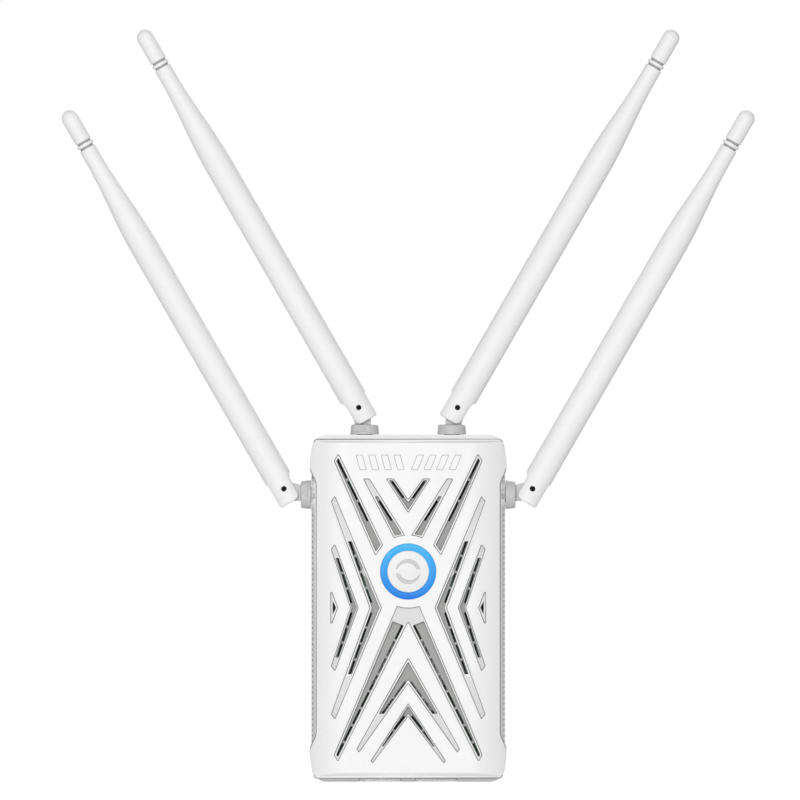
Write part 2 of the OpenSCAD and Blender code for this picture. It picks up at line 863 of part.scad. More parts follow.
module clip() {
    color("silver")
        translate([0, 0, -3.5])
            difference() {
                cylinder(h = 1, r = clip_r);
                translate([0, 0, -1]) cylinder(h = 3, r = 2.55);
                translate([-5, -1.3, -1]) cube([4, 2.6, 3]);
            }
}

module hinge_pin() {
    color("black")
        translate([0, -arm_r + 0.05, 0])
            rotate([-90, 0, 0]) cylinder(h = 2 * arm_r - 0.1, r = pin_r);
}

function taper_r(t) = arm_r + (neck_r - arm_r) * (1 - cos(180 * t)) / 2;

module sleeve() {
    color("white")
        difference() {
            rotate_extrude()
                polygon(concat(
                    [[0, -ear_drop], [arm_r, -ear_drop]],
                    [
                        for (i = [0:taper_steps])
                            [taper_r(i / taper_steps),
                                taper_bottom + (taper_top - taper_bottom) * i / taper_steps]
                    ],
                    [[neck_r, sleeve_l - 0.3], [neck_r - 0.3, sleeve_l], [0, sleeve_l]]
                ));
            // fork for the tongue
            box([-10, -fork_hw, -10], [10, fork_hw, fork_root]);
            // relief on the fold side
            translate([0, 10, 0])
                rotate([90, 0, 0])
                    linear_extrude(20) {
                        polygon([[ear_fold_x, -8], [ear_fold_x, 3.2], [6, 5.4], [8, -8]]);
                        difference() {
                            translate([ear_fold_x - ear_corner_r, -8])
                                square([8, 8 - ear_drop + ear_corner_r]);
                            translate([ear_fold_x - ear_corner_r, ear_corner_r - ear_drop])
                                circle(ear_corner_r);
                        }
                    }
            // bore for the pin, way for the lead and hollow for the element
            translate([0, -10, 0]) rotate([-90, 0, 0]) cylinder(h = 20, r = pin_r);
            cylinder(h = 20, r = 1.2);
            translate([0, 0, 12]) cylinder(h = taper_bottom - 16, r = 4.2);
            translate([0, 0, 90]) cylinder(h = 100, r = 2.3);
        }
}

module tip() {
    spigot_l = 8;
    color("whitesmoke")
        translate([0, 0, sleeve_l]) {
            translate([0, 0, -spigot_l]) cylinder(h = spigot_l + 2 * groove_l + band_l + 2, r = 2.25);
            translate([0, 0, groove_l]) cylinder(h = band_l, r = cap_r + 0.1);
            translate([0, 0, 2 * groove_l + band_l]) {
                cylinder(h = cap_l - cap_r, r = cap_r);
                translate([0, 0, cap_l - cap_r]) sphere(cap_r);
            }
        }
}

module element() {
    color("peru")
        rotate_extrude()
            polygon([
                [0, 5], [1.15, 5], [1.15, 12.5], [2.4, 13.2], [2.4, 48], [1.9, 48], [1.9, 14.5], [0.8, 14.5],
                [0.8, 96], [2.2, 97], [2.2, 99], [0.8, 100], [0.8, 136], [0, 136]
            ]);
}

module top_left_swivel() { top_place(-1) swivel(); }
module top_left_clip() { top_place(-1) clip(); }
module top_left_pin() { top_place(-1) on_pin(lean) hinge_pin(); }
module top_left_sleeve() { top_place(-1) on_pin(lean) sleeve(); }
module top_left_tip() { top_place(-1) on_pin(lean) tip(); }
module top_left_element() { top_place(-1) on_pin(lean) element(); }

module top_right_swivel() { top_place(1) swivel(); }
module top_right_clip() { top_place(1) clip(); }
module top_right_pin() { top_place(1) on_pin(lean) hinge_pin(); }
module top_right_sleeve() { top_place(1) on_pin(lean) sleeve(); }
module top_right_tip() { top_place(1) on_pin(lean) tip(); }
module top_right_element() { top_place(1) on_pin(lean) element(); }

module side_left_swivel() { side_place(-1) swivel(); }
module side_left_clip() { side_place(-1) clip(); }
module side_left_pin() { side_place(-1) on_pin(side_angle) hinge_pin(); }
module side_left_sleeve() { side_place(-1) on_pin(side_angle) sleeve(); }
module side_left_tip() { side_place(-1) on_pin(side_angle) tip(); }
module side_left_element() { side_place(-1) on_pin(side_angle) element(); }

module side_right_swivel() { side_place(1) swivel(); }
module side_right_clip() { side_place(1) clip(); }
module side_right_pin() { side_place(1) on_pin(side_angle) hinge_pin(); }
module side_right_sleeve() { side_place(1) on_pin(side_angle) sleeve(); }
module side_right_tip() { side_place(1) on_pin(side_angle) tip(); }
module side_right_element() { side_place(1) on_pin(side_angle) element(); }

front_cover();
vent_liner();
rear_housing();
left_grille();
right_grille();
plug_insert();
plug_blades();
case_screws();
light_ring();
sync_button();
sync_plunger();
sync_switch();
led_board();
ring_leds();
led_board_screws();
main_board();
board_screws();
rf_shields();
processor();
heat_sink();
memory_chips();
power_board();
transformer();
capacitors();
fuse();
mains_leads();
antenna_leads();
ethernet_jacks();
jack_contacts();
reset_button();
reset_switch();
mode_slider();
mode_switch();
top_left_swivel();
top_left_clip();
top_left_pin();
top_left_sleeve();
top_left_tip();
top_left_element();
top_right_swivel();
top_right_clip();
top_right_pin();
top_right_sleeve();
top_right_tip();
top_right_element();
side_left_swivel();
side_left_clip();
side_left_pin();
side_left_sleeve();
side_left_tip();
side_left_element();
side_right_swivel();
side_right_clip();
side_right_pin();
side_right_sleeve();
side_right_tip();
side_right_element();
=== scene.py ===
import math

import bmesh
import bpy
import numpy as np
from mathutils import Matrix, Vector
from mathutils.geometry import delaunay_2d_cdt


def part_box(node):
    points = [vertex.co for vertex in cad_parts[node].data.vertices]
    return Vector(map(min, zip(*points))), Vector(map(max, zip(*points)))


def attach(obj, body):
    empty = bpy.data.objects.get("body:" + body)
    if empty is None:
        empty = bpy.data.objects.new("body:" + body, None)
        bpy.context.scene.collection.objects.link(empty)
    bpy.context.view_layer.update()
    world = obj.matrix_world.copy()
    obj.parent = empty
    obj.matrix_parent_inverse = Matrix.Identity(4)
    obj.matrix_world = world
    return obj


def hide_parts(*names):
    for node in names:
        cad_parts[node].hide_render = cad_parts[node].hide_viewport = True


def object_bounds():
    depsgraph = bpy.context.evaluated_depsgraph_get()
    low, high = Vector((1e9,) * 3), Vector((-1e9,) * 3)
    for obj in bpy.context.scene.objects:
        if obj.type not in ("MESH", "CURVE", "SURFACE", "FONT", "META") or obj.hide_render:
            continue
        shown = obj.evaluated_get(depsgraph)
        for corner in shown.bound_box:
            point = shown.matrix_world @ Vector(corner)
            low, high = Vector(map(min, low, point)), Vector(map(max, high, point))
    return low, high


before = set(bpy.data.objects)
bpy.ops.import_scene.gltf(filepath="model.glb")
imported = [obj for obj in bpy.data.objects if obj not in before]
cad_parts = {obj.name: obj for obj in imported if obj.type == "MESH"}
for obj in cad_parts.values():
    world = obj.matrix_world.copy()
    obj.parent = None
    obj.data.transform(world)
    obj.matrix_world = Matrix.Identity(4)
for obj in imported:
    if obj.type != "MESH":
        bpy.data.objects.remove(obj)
cad_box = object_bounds()

# Lengths are in millimetres until a mesh is made. +Z is up and the front faces -Y.
MM = 0.001


def limits(node):
    """Lowest and highest corner of a CAD node, in millimetres."""
    low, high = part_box(node)
    return np.array(low) / MM, np.array(high) / MM


# ---- sizes ----

# casing
WALL = 2.2
cover_low, cover_high = limits("front_cover")
HOUSING_TOP = limits("rear_housing")[1][2]
liner_low, liner_high = limits("vent_liner")
FRONT_Y = liner_low[1] - WALL - 0.1
BODY_Z = (cover_low[2] + cover_high[2]) / 2
COVER_HH = (cover_high[2] - cover_low[2]) / 2
COVER_HW = cover_high[0]
COVER_BACK_Y = cover_high[1]
CORNER_HW = COVER_HW - 1.9
WAIST_HW = COVER_HW - 2.3
SHOULDER_HH = 55.0
WAIST_HH = 48.0
CORNER_R = 1.5
FLAT_HW = 24.0
SIDE_R = 20.0
LIP_R = 1.0
SIDE_LIP_R = 0.35
LIP_ANGLES = (0, 20, 40, 60, 75, 90)
LINER_T = 1.2
LINER_HOLE_R = 13.2
POST_HOLE_R = 2.1
GRILLE_FRONT_Y = limits("left_grille")[0][1]
CUTAWAY_Y = GRILLE_FRONT_Y - 0.2
CUTAWAY_HH = 54.6
SCREW_X = 31
SCREW_ZS = (59, -47)
BOARD_POSTS = ((15.8, 0), (-15.8, 0), (0, -16.5))

# button and light ring
button_low, button_high = limits("sync_button")
BUTTON_Z = (button_low[2] + button_high[2]) / 2
BUTTON_R = 8.2
BUTTON_Y = button_low[1]
RING_R = 10.75
RING_BORE_R = 8.3
RING_Y = limits("light_ring")[0][1]

# aerials, in their own frames
COLLAR_H = 4.0
COLLAR_R = 5.65
COLLAR_END_R = 5.25
PIN_OFFSET = 2.3
PIN_RISE = 6.65
PIN_R = 1.0
SHAFT_R = 3.0
SHAFT_END_Z = -4.8
THUMB_TURN = 18
THUMB_FLAT_Y = 4.6
THUMB_LEDGE_Z = 1.35
CLIP_GROOVE_Z = -3
CLIP_GROOVE_HW = 0.55
CLIP_GROOVE_R = 2.5
LEAD_BORE_X = -1.2
LEAD_BORE_R = 0.8
TONGUE_HW = 1.75
EYE_R = 3.2
ARM_R = 5.4
NECK_R = 3.33
CAP_R = 3.3
CAP_L = 13.6
GROOVE_L = 0.9
BAND_L = 1.25
ARM_L = 170.0
SLEEVE_L = ARM_L - CAP_L - 2 * GROOVE_L - BAND_L
TAPER_BOTTOM = ARM_L - 61
TAPER_TOP = ARM_L - 21
EAR_DROP = 6.15
EAR_TOP = 18.0
EAR_FOLD_X = 4.05
EAR_CORNER_R = 2.7
FORK_HW = 2.0
FORK_ROOT = 4.2
LEAD_WAY_R = 1.2
LEAD_WAY_TOP = 13
TUBE_BORE_R = 4.2
TUBE_BORE_Z = 12
SPIGOT_R = 2.25
SPIGOT_L = 8
LEAN = {"top": 30, "side": 60}
TOP_SEAT_X = 17
SIDE_SEAT_X = 37.8
SIDE_SEAT_Z = BODY_Z + 44.4

# channel outlines, [x, z] from the button's centre, left half
CHANNEL_A = [[-27.2, 46.1], [-9.8, 10.4], [-12.8, 6.1], [-28.9, 43.1]]
CHANNEL_B = [[-17.6, 36.2], [-15.1, 36.2], [0, 12.2], [-5, 12]]
CHANNEL_D = [[-28.5, 29.6], [-10.3, -14.1], [-28.5, -57.8], [-30.1, -55.5], [-15, -14.1], [-30.1, 27.3]]
CHANNEL_E = [[-28.5, 10.8], [-19.4, -14.1], [-28.5, -39], [-30.1, -36.9], [-22.6, -14.1], [-30.1, 8.7]]
CHANNEL_F = [[-30.3, -6.2], [-27.3, -14.1], [-30.3, -22]]
# channel outlines that cross the middle
CHANNEL_C = [[-8.7, 36.2], [-5.7, 36.2], [0, 28.1], [5.7, 36.2], [8.7, 36.2], [0, 22.8]]
CHANNEL_G = [[0, -3], [-28.9, -71.4], [-27.4, -74.2], [0, -19.5], [27.4, -74.2], [28.9, -71.4]]
CHANNEL_H = [[0, -33.4], [-20.1, -69], [-19.2, -70.6], [0, -43.6], [19.2, -70.6], [20.1, -69]]
CHANNEL_I = [[0, -51.2], [-14.6, -73.7], [-13.9, -74.8], [0, -56.4], [13.9, -74.8], [14.6, -73.7]]
# stretches of the channels that open into slots
SLOT_B = [[-14.4, 30.1], [-11.3, 30.1], [-1.1, 14], [-5.6, 13.1]]
SLOT_D = [[-24.7, 12.6], [-21.4, 12.6], [-10.3, -14.1], [-21.4, -40.8], [-24.7, -40.8], [-15, -14.1]]
SLOT_E = [[-29.2, 5.9], [-26.7, 5.9], [-19.4, -14.1], [-26.7, -34.1], [-29.2, -34.1], [-22.6, -14.1]]
SLOT_F = [[-30, -11.1], [-28.9, -11.1], [-27.4, -14.1], [-28.9, -17.1], [-30, -17.1]]
SLOT_G = [[-6.6, -18.3], [-0.6, -20.6], [-27.4, -74.2], [-28.9, -71.4]]
SLOT_H = [[0, -33.4], [-12.9, -56.2], [-9, -56.2], [0, -43.6], [9, -56.2], [12.9, -56.2]]
SLOT_I = [[0, -51.2], [-11.4, -68.7], [-9.3, -68.7], [0, -56.4], [9.3, -68.7], [11.4, -68.7]]
SLOT_INSET = 0.9
LAND_W = 0.6
RING_GAP_R = 14.1
CHANNEL_DEPTH = 0.8
# painted shade: a darkened strip at the cover's seam, and darkened spots of the grilles at their holes
SEAM_SHADE_W = 0.4
SHADE_SPOT_PITCH = 2.1
SHADE_SPOTS_FROM_Y = -20.5
# rows of slits in the liner: start, end, how many, and how far to the left of that line they lie
SLIT_ROWS = [
    [[-26.4, 44.2], [-14.6, 20.2], 3, -1.32],
    [[-10.2, 28.2], [-5.3, 20.5], 1, -1.32],
    [[-5.4, 35.7], [-0.9, 29.3], 1, -1.12],
    [[-24, 11.4], [-15.6, -12.6], 4, 1.32],
    [[-24, -39.6], [-15.6, -15.6], 4, -1.32],
    [[-28.4, 4.8], [-23.1, -12.6], 3, 1.08],
    [[-28.4, -33], [-23.1, -15.6], 3, -1.08],
    [[-28.9, -12.2], [-28.9, -16], 1, 0],
    [[-0.9, -21.2], [-27, -73.2], 8, -1.32],
    [[0.1, -43.8], [-9, -56.2], 2, -1.32],
    [[-0.6, -57], [-9.2, -68], 2, -1.06],
]
SLIT_W = 0.85
SLIT_RIB = 1.0

# edge profiles of recesses and pads: outward offset, depth, and whether the surface is level there
CHANNEL_EDGE = [
    (0.2, 0, True), (0.08, 0.05, False), (-0.02, 0.2, False), (-0.22, 0.7, False),
    (-0.32, CHANNEL_DEPTH, True),
]
SLOT_EDGE = [(0.16, 0, True), (0.05, 0.05, False), (0, 0.18, False), (-0.04, WALL - CHANNEL_DEPTH, False)]
BADGE_EDGE = [(0.15, 0, True), (0.06, -0.03, False), (-0.02, -0.19, False), (-0.14, -0.25, True)]
RING_HOLE_EDGE = [(0.3, 0, True), (0.08, 0.08, False), (0, 0.3, False), (-0.03, WALL, False)]
SLIT_EDGE = [(0.1, 0, True), (0.02, 0.03, False), (-0.02, 0.12, False), (-0.02, LINER_T, False)]
CRESCENT_EDGE = [(0.09, 0, True), (0.02, 0.04, False), (-0.02, 0.25, False), (-0.06, 0.4, True)]


# ---- plane outlines ----

def unit(v):
    return v / np.linalg.norm(v, axis=-1, keepdims=True)


def signed_area(p):
    q = np.roll(p, -1, axis=0)
    return 0.5 * np.sum(p[:, 0] * q[:, 1] - q[:, 0] * p[:, 1])


def outward(p):
    """Mitred outward normals at an outline's corners."""
    turn = np.sign(signed_area(p))
    along = unit(np.roll(p, -1, axis=0) - p)
    after = turn * np.stack([along[:, 1], -along[:, 0]], axis=1)
    before = np.roll(after, 1, axis=0)
    return (before + after) / (1 + np.sum(before * after, axis=1, keepdims=True))


def grow(p, distance):
    """An outline moved outward by one distance, or by one per corner."""
    p = np.asarray(p, float)
    return p + outward(p) * np.reshape(distance, (-1, 1))


def soften(p, convex_r, concave_r):
    """An outline with its corners rounded. Corners flatter than 15 degrees stay."""
    p = np.asarray(p, float)
    turning = np.sign(signed_area(p))
    out = []
    for before, here, after in zip(np.roll(p, 1, axis=0), p, np.roll(p, -1, axis=0)):
        u, v = unit(before - here), unit(after - here)
        turn = math.pi - math.acos(np.clip(u @ v, -1, 1))
        if turn < math.radians(15):
            out.append(here)
            continue
        convex = turning * (u[1] * v[0] - u[0] * v[1]) > 0
        radius = convex_r if convex else concave_r
        half = (math.pi - turn) / 2
        room = 0.45 * min(np.linalg.norm(before - here), np.linalg.norm(after - here))
        radius = min(radius, room * math.tan(half))
        centre = here + unit(u + v) * radius / math.sin(half)
        first = here + u * radius / math.tan(half) - centre
        steps = max(2, math.ceil(turn / math.radians(18)))
        last = here + v * radius / math.tan(half) - centre
        way = math.atan2(last[1], last[0]) - math.atan2(first[1], first[0])
        way = (way + math.pi) % (2 * math.pi) - math.pi
        for i in range(steps + 1):
            a = way * i / steps
            out.append(centre + [first[0] * math.cos(a) - first[1] * math.sin(a),
                                 first[0] * math.sin(a) + first[1] * math.cos(a)])
    return np.array(out)


def circle(radius, segments=96, centre=(0, 0)):
    a = np.arange(segments) * 2 * math.pi / segments
    return np.stack([centre[0] + radius * np.cos(a), centre[1] + radius * np.sin(a)], axis=1)


def mirrored(p):
    return [[-x, z] for x, z in reversed(list(p))]


def cut_round(p, radius):
    """The part of an outline outside a circle about the origin, closed along that circle."""
    p = np.asarray(p, float)
    out = []
    for here, after in zip(p, np.roll(p, -1, axis=0)):
        if np.linalg.norm(here) >= radius:
            out.append(here)
        step = after - here
        a, b, c = step @ step, 2 * here @ step, here @ here - radius ** 2
        disc = b * b - 4 * a * c
        if disc <= 0:
            continue
        for t in ((-b - math.sqrt(disc)) / (2 * a), (-b + math.sqrt(disc)) / (2 * a)):
            if 0 < t < 1:
                out.append(here + t * step)
    done = []
    for here, after in zip(out, out[1:] + out[:1]):
        done.append(here)
        on_circle = all(abs(np.linalg.norm(q) - radius) < 1e-6 for q in (here, after))
        middle = (here + after) / 2
        if on_circle and inside(middle[None] * 0.999, p)[0]:
            start, end = math.atan2(here[1], here[0]), math.atan2(after[1], after[0])
            way = (end - start + math.pi) % (2 * math.pi) - math.pi
            count = max(1, round(abs(way) / math.radians(4)))
            for i in range(1, count):
                a = start + way * i / count
                done.append(np.array([radius * math.cos(a), radius * math.sin(a)]))
    return np.array(done)


def inside(points, outline):
    """Whether each point lies in an outline."""
    x, z = points[:, 0], points[:, 1]
    found = np.zeros(len(points), bool)
    p = np.asarray(outline, float)
    for (x0, z0), (x1, z1) in zip(p, np.roll(p, -1, axis=0)):
        if z0 != z1:
            found ^= ((z0 > z) != (z1 > z)) & (x < (x1 - x0) * (z - z0) / (z1 - z0) + x0)
    return found


def nearest_segment(points, starts, ends):
    """Distance to the nearest segment, and its number, for each point."""
    step = ends - starts
    length = np.maximum(np.sum(step * step, axis=1), 1e-12)
    best, index = [], []
    for chunk in np.array_split(points, max(1, len(points) // 400)):
        away = chunk[:, None] - starts[None]
        t = np.clip(np.sum(away * step, axis=2) / length, 0, 1)
        d = np.linalg.norm(away - t[..., None] * step, axis=2)
        index.append(np.argmin(d, axis=1))
        best.append(np.min(d, axis=1))
    return np.concatenate(best), np.concatenate(index)


# ---- relief plates: outlines at chosen depths, joined by triangles ----

def new_plan():
    return {"points": [], "depth": [], "level": [], "edges": []}


def add_loop(plan, loop, depth, level):
    """Adds a closed loop at one depth, or at one depth per point, and returns its point numbers."""
    first, count = len(plan["points"]), len(loop)
    plan["points"] += [tuple(p) for p in loop]
    plan["depth"] += list(np.broadcast_to(depth, count))
    plan["level"] += [level] * count
    plan["edges"] += [(first + i, first + (i + 1) % count) for i in range(count)]
    return list(range(first, first + count))


def add_relief(plan, outline, profile, corner_r, base=0.0):
    """Adds an outline's edge profile, and returns its last loop."""
    for out, depth, level in profile:
        loop = soften(grow(outline, out), corner_r + out, max(corner_r - out, 0.05))
        add_loop(plan, loop, base + depth, level)
    return loop


def add_grid(plan, outline, pools, holes, spacing_x, spacing_z, clear):
    """Adds points on a grid, clear of every loop, so that curved stretches have even triangles."""
    low, high = outline.min(axis=0), outline.max(axis=0)
    columns = np.arange(0, high[0], spacing_x)
    columns = [x for x in columns if x > FLAT_HW - 1 or round(x / spacing_x) % 4 == 0]
    xs = np.array(sorted({s * x for x in columns for s in (-1, 1)}))
    zs = np.arange(low[1], high[1], spacing_z)
    grid = np.array([(x, z + (i % 2) * spacing_z / 2) for i, x in enumerate(xs) for z in zs])
    points = np.array(plan["points"])
    edges = np.array(plan["edges"])
    away, _ = nearest_segment(grid, points[edges[:, 0]], points[edges[:, 1]])
    keep = inside(grid, outline) & (away > clear)
    for hole in holes:
        keep &= ~inside(grid, hole)
    grid = grid[keep]
    depth = np.zeros(len(grid))
    for pool, pool_depth in pools:
        depth[inside(grid, pool)] = pool_depth
    plan["points"] += [tuple(p) for p in grid]
    plan["depth"] += list(depth)
    plan["level"] += [True] * len(grid)


def triangulate(plan, outline, holes):
    """Triangles between a plan's loops, inside the outline and outside the holes."""
    given = [Vector(p) for p in plan["points"]]
    found = delaunay_2d_cdt(given, plan["edges"], [], 0, 1e-6, True)
    points = np.array([tuple(v) for v in found[0]])
    faces = np.array([f for f in found[2] if len(f) == 3])
    middle = points[faces].mean(axis=1)
    keep = inside(middle, outline)
    for hole in holes:
        keep &= ~inside(middle, hole)
    faces = faces[keep]
    depth, level = np.zeros(len(points)), np.zeros(len(points), bool)
    source = {}
    strangers = []
    for i, came in enumerate(found[3]):
        if came:
            depth[i], level[i] = plan["depth"][came[0]], plan["level"][came[0]]
            source.update({c: i for c in came})
        else:
            strangers.append(i)
    if strangers:
        starts, ends = (np.array([plan["points"][e[k]] for e in plan["edges"]]) for k in (0, 1))
        _, index = nearest_segment(points[strangers], starts, ends)
        for i, k in zip(strangers, index):
            depth[i] = plan["depth"][plan["edges"][k][0]]
    return points, faces, depth, level, source


# ---- bodies of revolution and distance fields ----

def lathe(profile, segments=96, closed=False):
    """A profile of [radius, z] turned about Z. A closed profile makes a ring."""
    profile = np.asarray(profile, float)
    rows, verts, faces = [], [], []
    for r, z in profile:
        if r < 1e-9:
            rows.append([len(verts)] * segments)
            verts.append((0, 0, z))
        else:
            a = np.arange(segments) * 2 * math.pi / segments
            rows.append(list(range(len(verts), len(verts) + segments)))
            verts += list(zip(r * np.cos(a), r * np.sin(a), np.full(segments, z)))
    pairs = list(zip(rows, rows[1:] + rows[:1])) if closed else list(zip(rows, rows[1:]))
    for low, high in pairs:
        for i in range(segments):
            j = (i + 1) % segments
            corners = [low[i], low[j], high[j], high[i]]
            corners = list(dict.fromkeys(corners))
            if len(corners) > 2:
                faces.append(corners)
    return np.array(verts, float), faces


def arc(centre, radius, start, end, steps=6):
    """Points along an arc, [radius, z], between two angles in degrees."""
    a = np.radians(np.linspace(start, end, steps + 1))
    return [[centre[0] + radius * math.cos(t), centre[1] + radius * math.sin(t)] for t in a]


def smooth_min(a, b, k):
    h = np.maximum(k - np.abs(a - b), 0) / k
    return np.minimum(a, b) - h * h * k / 4


def smooth_max(a, b, k):
    return -smooth_min(-a, -b, k)


def box_distance(p, low, high):
    low, high = np.array(low), np.array(high)
    q = np.abs(p - (low + high) / 2) - (high - low) / 2
    return np.linalg.norm(np.maximum(q, 0), axis=-1) + np.minimum(q.max(axis=-1), 0)


def polygon_distance(x, z, corners):
    """Distance from points to a polygon, negative inside."""
    corners = np.asarray(corners, float)
    best, sign = np.full(x.shape, 1e9), np.ones(x.shape)
    for a, b in zip(corners, np.roll(corners, -1, axis=0)):
        e = b - a
        wx, wz = x - a[0], z - a[1]
        t = np.clip((wx * e[0] + wz * e[1]) / (e @ e), 0, 1)
        best = np.minimum(best, np.hypot(wx - t * e[0], wz - t * e[1]))
        up = np.sign(e[1])
        crosses = ((a[1] > z) != (b[1] > z)) & (wx * e[1] * up < e[0] * wz * up)
        sign = np.where(crosses, -sign, sign)
    return best * sign


def surface_net(distance, low, high, cell):
    """Quads on the zero level of a distance function, with its gradient as normals."""
    axes = [np.arange(a, b + cell, cell) for a, b in zip(low, high)]
    grid = np.stack(np.meshgrid(*axes, indexing="ij"), axis=-1)
    d = distance(grid)
    n = np.array(d.shape) - 1
    shifts = [(i, j, k) for i in (0, 1) for j in (0, 1) for k in (0, 1)]
    corner = {s: d[s[0]:s[0] + n[0], s[1]:s[1] + n[1], s[2]:s[2] + n[2]] for s in shifts}
    negative = sum((corner[s] < 0).astype(int) for s in shifts)
    mixed = (negative > 0) & (negative < 8)
    index = np.full(tuple(n), -1)
    index[mixed] = np.arange(mixed.sum())
    total, count = np.zeros((mixed.sum(), 3)), np.zeros(mixed.sum())
    for a in shifts:
        for axis in range(3):
            if a[axis] == 0:
                b = tuple(1 if k == axis else a[k] for k in range(3))
                da, db = corner[a][mixed], corner[b][mixed]
                crossing = (da < 0) != (db < 0)
                t = np.where(crossing, da / np.where(crossing, da - db, 1), 0)
                at = np.tile(np.array(a, float), (len(t), 1))
                at[:, axis] = t
                total += at * crossing[:, None]
                count += crossing
    points = np.array([ax[0] for ax in axes]) + cell * (np.argwhere(mixed) + total / count[:, None])
    quads = []
    for axis in range(3):
        u, v = (axis + 1) % 3, (axis + 2) % 3
        first = d.take(range(0, n[axis]), axis=axis)
        second = d.take(range(1, n[axis] + 1), axis=axis)
        for where, flip in (((first < 0) & (second >= 0), False), ((first >= 0) & (second < 0), True)):
            at = np.argwhere(where)
            at = at[(at[:, u] > 0) & (at[:, v] > 0) & (at[:, u] < n[u]) & (at[:, v] < n[v])]
            ring = []
            for du, dv in ((-1, -1), (0, -1), (0, 0), (-1, 0)):
                c = at.copy()
                c[:, u] += du
                c[:, v] += dv
                ring.append(index[c[:, 0], c[:, 1], c[:, 2]])
            ring = np.stack(ring[::-1] if flip else ring, axis=1)
            quads.append(ring)
    for _ in range(3):
        g = gradient(distance, points)
        points = points - g * (distance(points) / np.maximum(np.sum(g * g, axis=1), 0.2))[:, None]
    return points, np.concatenate(quads).tolist(), unit(gradient(distance, points))


def gradient(distance, points, step=0.02):
    g = np.zeros_like(points)
    for axis in range(3):
        shift = np.zeros(3)
        shift[axis] = step
        g[:, axis] = (distance(points + shift) - distance(points - shift)) / (2 * step)
    return g


# ---- placing and finishing pieces ----

def rotation(axis, degrees):
    c, s = math.cos(math.radians(degrees)), math.sin(math.radians(degrees))
    m = np.eye(4)
    a, b = {"x": (1, 2), "y": (2, 0), "z": (0, 1)}[axis]
    m[a, a], m[a, b], m[b, a], m[b, b] = c, -s, s, c
    return m


def shift(x, y, z):
    m = np.eye(4)
    m[:3, 3] = x, y, z
    return m


def moved(part, matrix):
    """A part's points and normals under a matrix, with its faces turned over by a mirror."""
    verts, faces = part[0] @ matrix[:3, :3].T + matrix[:3, 3], part[1]
    normals = part[2] @ matrix[:3, :3].T if len(part) > 2 and part[2] is not None else None
    if np.linalg.det(matrix[:3, :3]) < 0:
        faces = [list(reversed(f)) for f in faces]
    return verts, faces, normals


TO_FRONT = np.array([[1, 0, 0, 0], [0, 0, -1, 0], [0, 1, 0, 0], [0, 0, 0, 1]], float)


def facing_front(z):
    """Places a part turned about Z so that its +Z faces the front, at a height."""
    return shift(0, 0, z) @ TO_FRONT


def make_piece(name, parts, body, slot, node, sharp, more_looks=(), marks=None):
    """One object from parts of (points in mm, faces, normals or None), in a CAD node's place."""
    verts, faces, normals = [], [], []
    for points, part_faces, given in parts:
        first = sum(len(v) for v in verts)
        verts.append(points)
        faces += [[first + i for i in f] for f in part_faces]
        normals.append(np.zeros((len(points), 3)) if given is None else given)
    mesh = bpy.data.meshes.new(name)
    mesh.from_pydata((np.concatenate(verts) * MM).tolist(), [], faces)
    bm = bmesh.new()
    bm.from_mesh(mesh)
    bmesh.ops.recalc_face_normals(bm, faces=bm.faces)
    bm.to_mesh(mesh)
    bm.free()
    for look in (slot, *more_looks):
        mesh.materials.append(MATERIALS[look])
    if marks is not None:
        mesh.polygons.foreach_set("material_index", marks)
    mesh.polygons.foreach_set("use_smooth", [True] * len(mesh.polygons))
    mesh.set_sharp_from_angle(angle=math.radians(sharp))
    normals = np.concatenate(normals)
    if np.any(normals):
        mesh.normals_split_custom_set_from_vertices(normals.tolist())
    mesh.update()
    piece = bpy.data.objects.new(name, mesh)
    bpy.context.scene.collection.objects.link(piece)
    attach(piece, body)
    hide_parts(node)


def joined(sheets, tolerance=1e-4):
    """Sheets of (points, faces, normals or None, marks or None) welded into one part, and its marks."""
    verts, faces, normals, marks = [], [], [], []
    for points, sheet_faces, given, marked in sheets:
        first = sum(len(v) for v in verts)
        verts.append(points)
        faces += [[first + i for i in f] for f in sheet_faces]
        normals.append(np.zeros((len(points), 3)) if given is None else given)
        marks += [0] * len(sheet_faces) if marked is None else marked
    verts, normals = np.concatenate(verts), np.concatenate(normals)
    keys = np.round(verts / tolerance).astype(np.int64)
    _, first, back = np.unique(keys, axis=0, return_index=True, return_inverse=True)
    order = np.argsort(first)
    rank = np.empty_like(order)
    rank[order] = np.arange(len(order))
    back = rank[back.ravel()]
    kept, kept_marks = [], []
    for f, mark in zip(faces, marks):
        corners = list(dict.fromkeys(int(back[i]) for i in f))
        if len(corners) > 2:
            kept.append(corners)
            kept_marks.append(mark)
    order = first[order]
    return (verts[order], kept, normals[order]), kept_marks


# ---- materials ----

def new_material(name, colour, roughness, metallic=0.0):
    material = bpy.data.materials.new(name)
    material.use_nodes = True
    shader = material.node_tree.nodes["Principled BSDF"]
    shader.inputs["Base Color"].default_value = (*colour, 1)
    shader.inputs["Roughness"].default_value = roughness
    shader.inputs["Metallic"].default_value = metallic
    return material, material.node_tree, shader


def add_node(tree, kind, inputs, **settings):
    """A shader node. Each input is given a number, a tuple or another node's output."""
    node = tree.nodes.new("ShaderNode" + kind)
    for name, value in settings.items():
        setattr(node, name, value)
    for key, value in inputs.items():
        if isinstance(value, bpy.types.NodeSocket):
            tree.links.new(value, node.inputs[key])
        else:
            node.inputs[key].default_value = value
    return node


def grey(value):
    return (value, value, value)


def object_place(tree):
    return tree.nodes.new("ShaderNodeTexCoord").outputs["Object"]


def noise(tree, place, scale, detail=3.0, stretch=None):
    if stretch is not None:
        place = add_node(tree, "Mapping", {"Scale": stretch, "Vector": place}).outputs["Vector"]
    inputs = {"Scale": scale, "Detail": detail, "Vector": place}
    return add_node(tree, "TexNoise", inputs).outputs["Fac"]


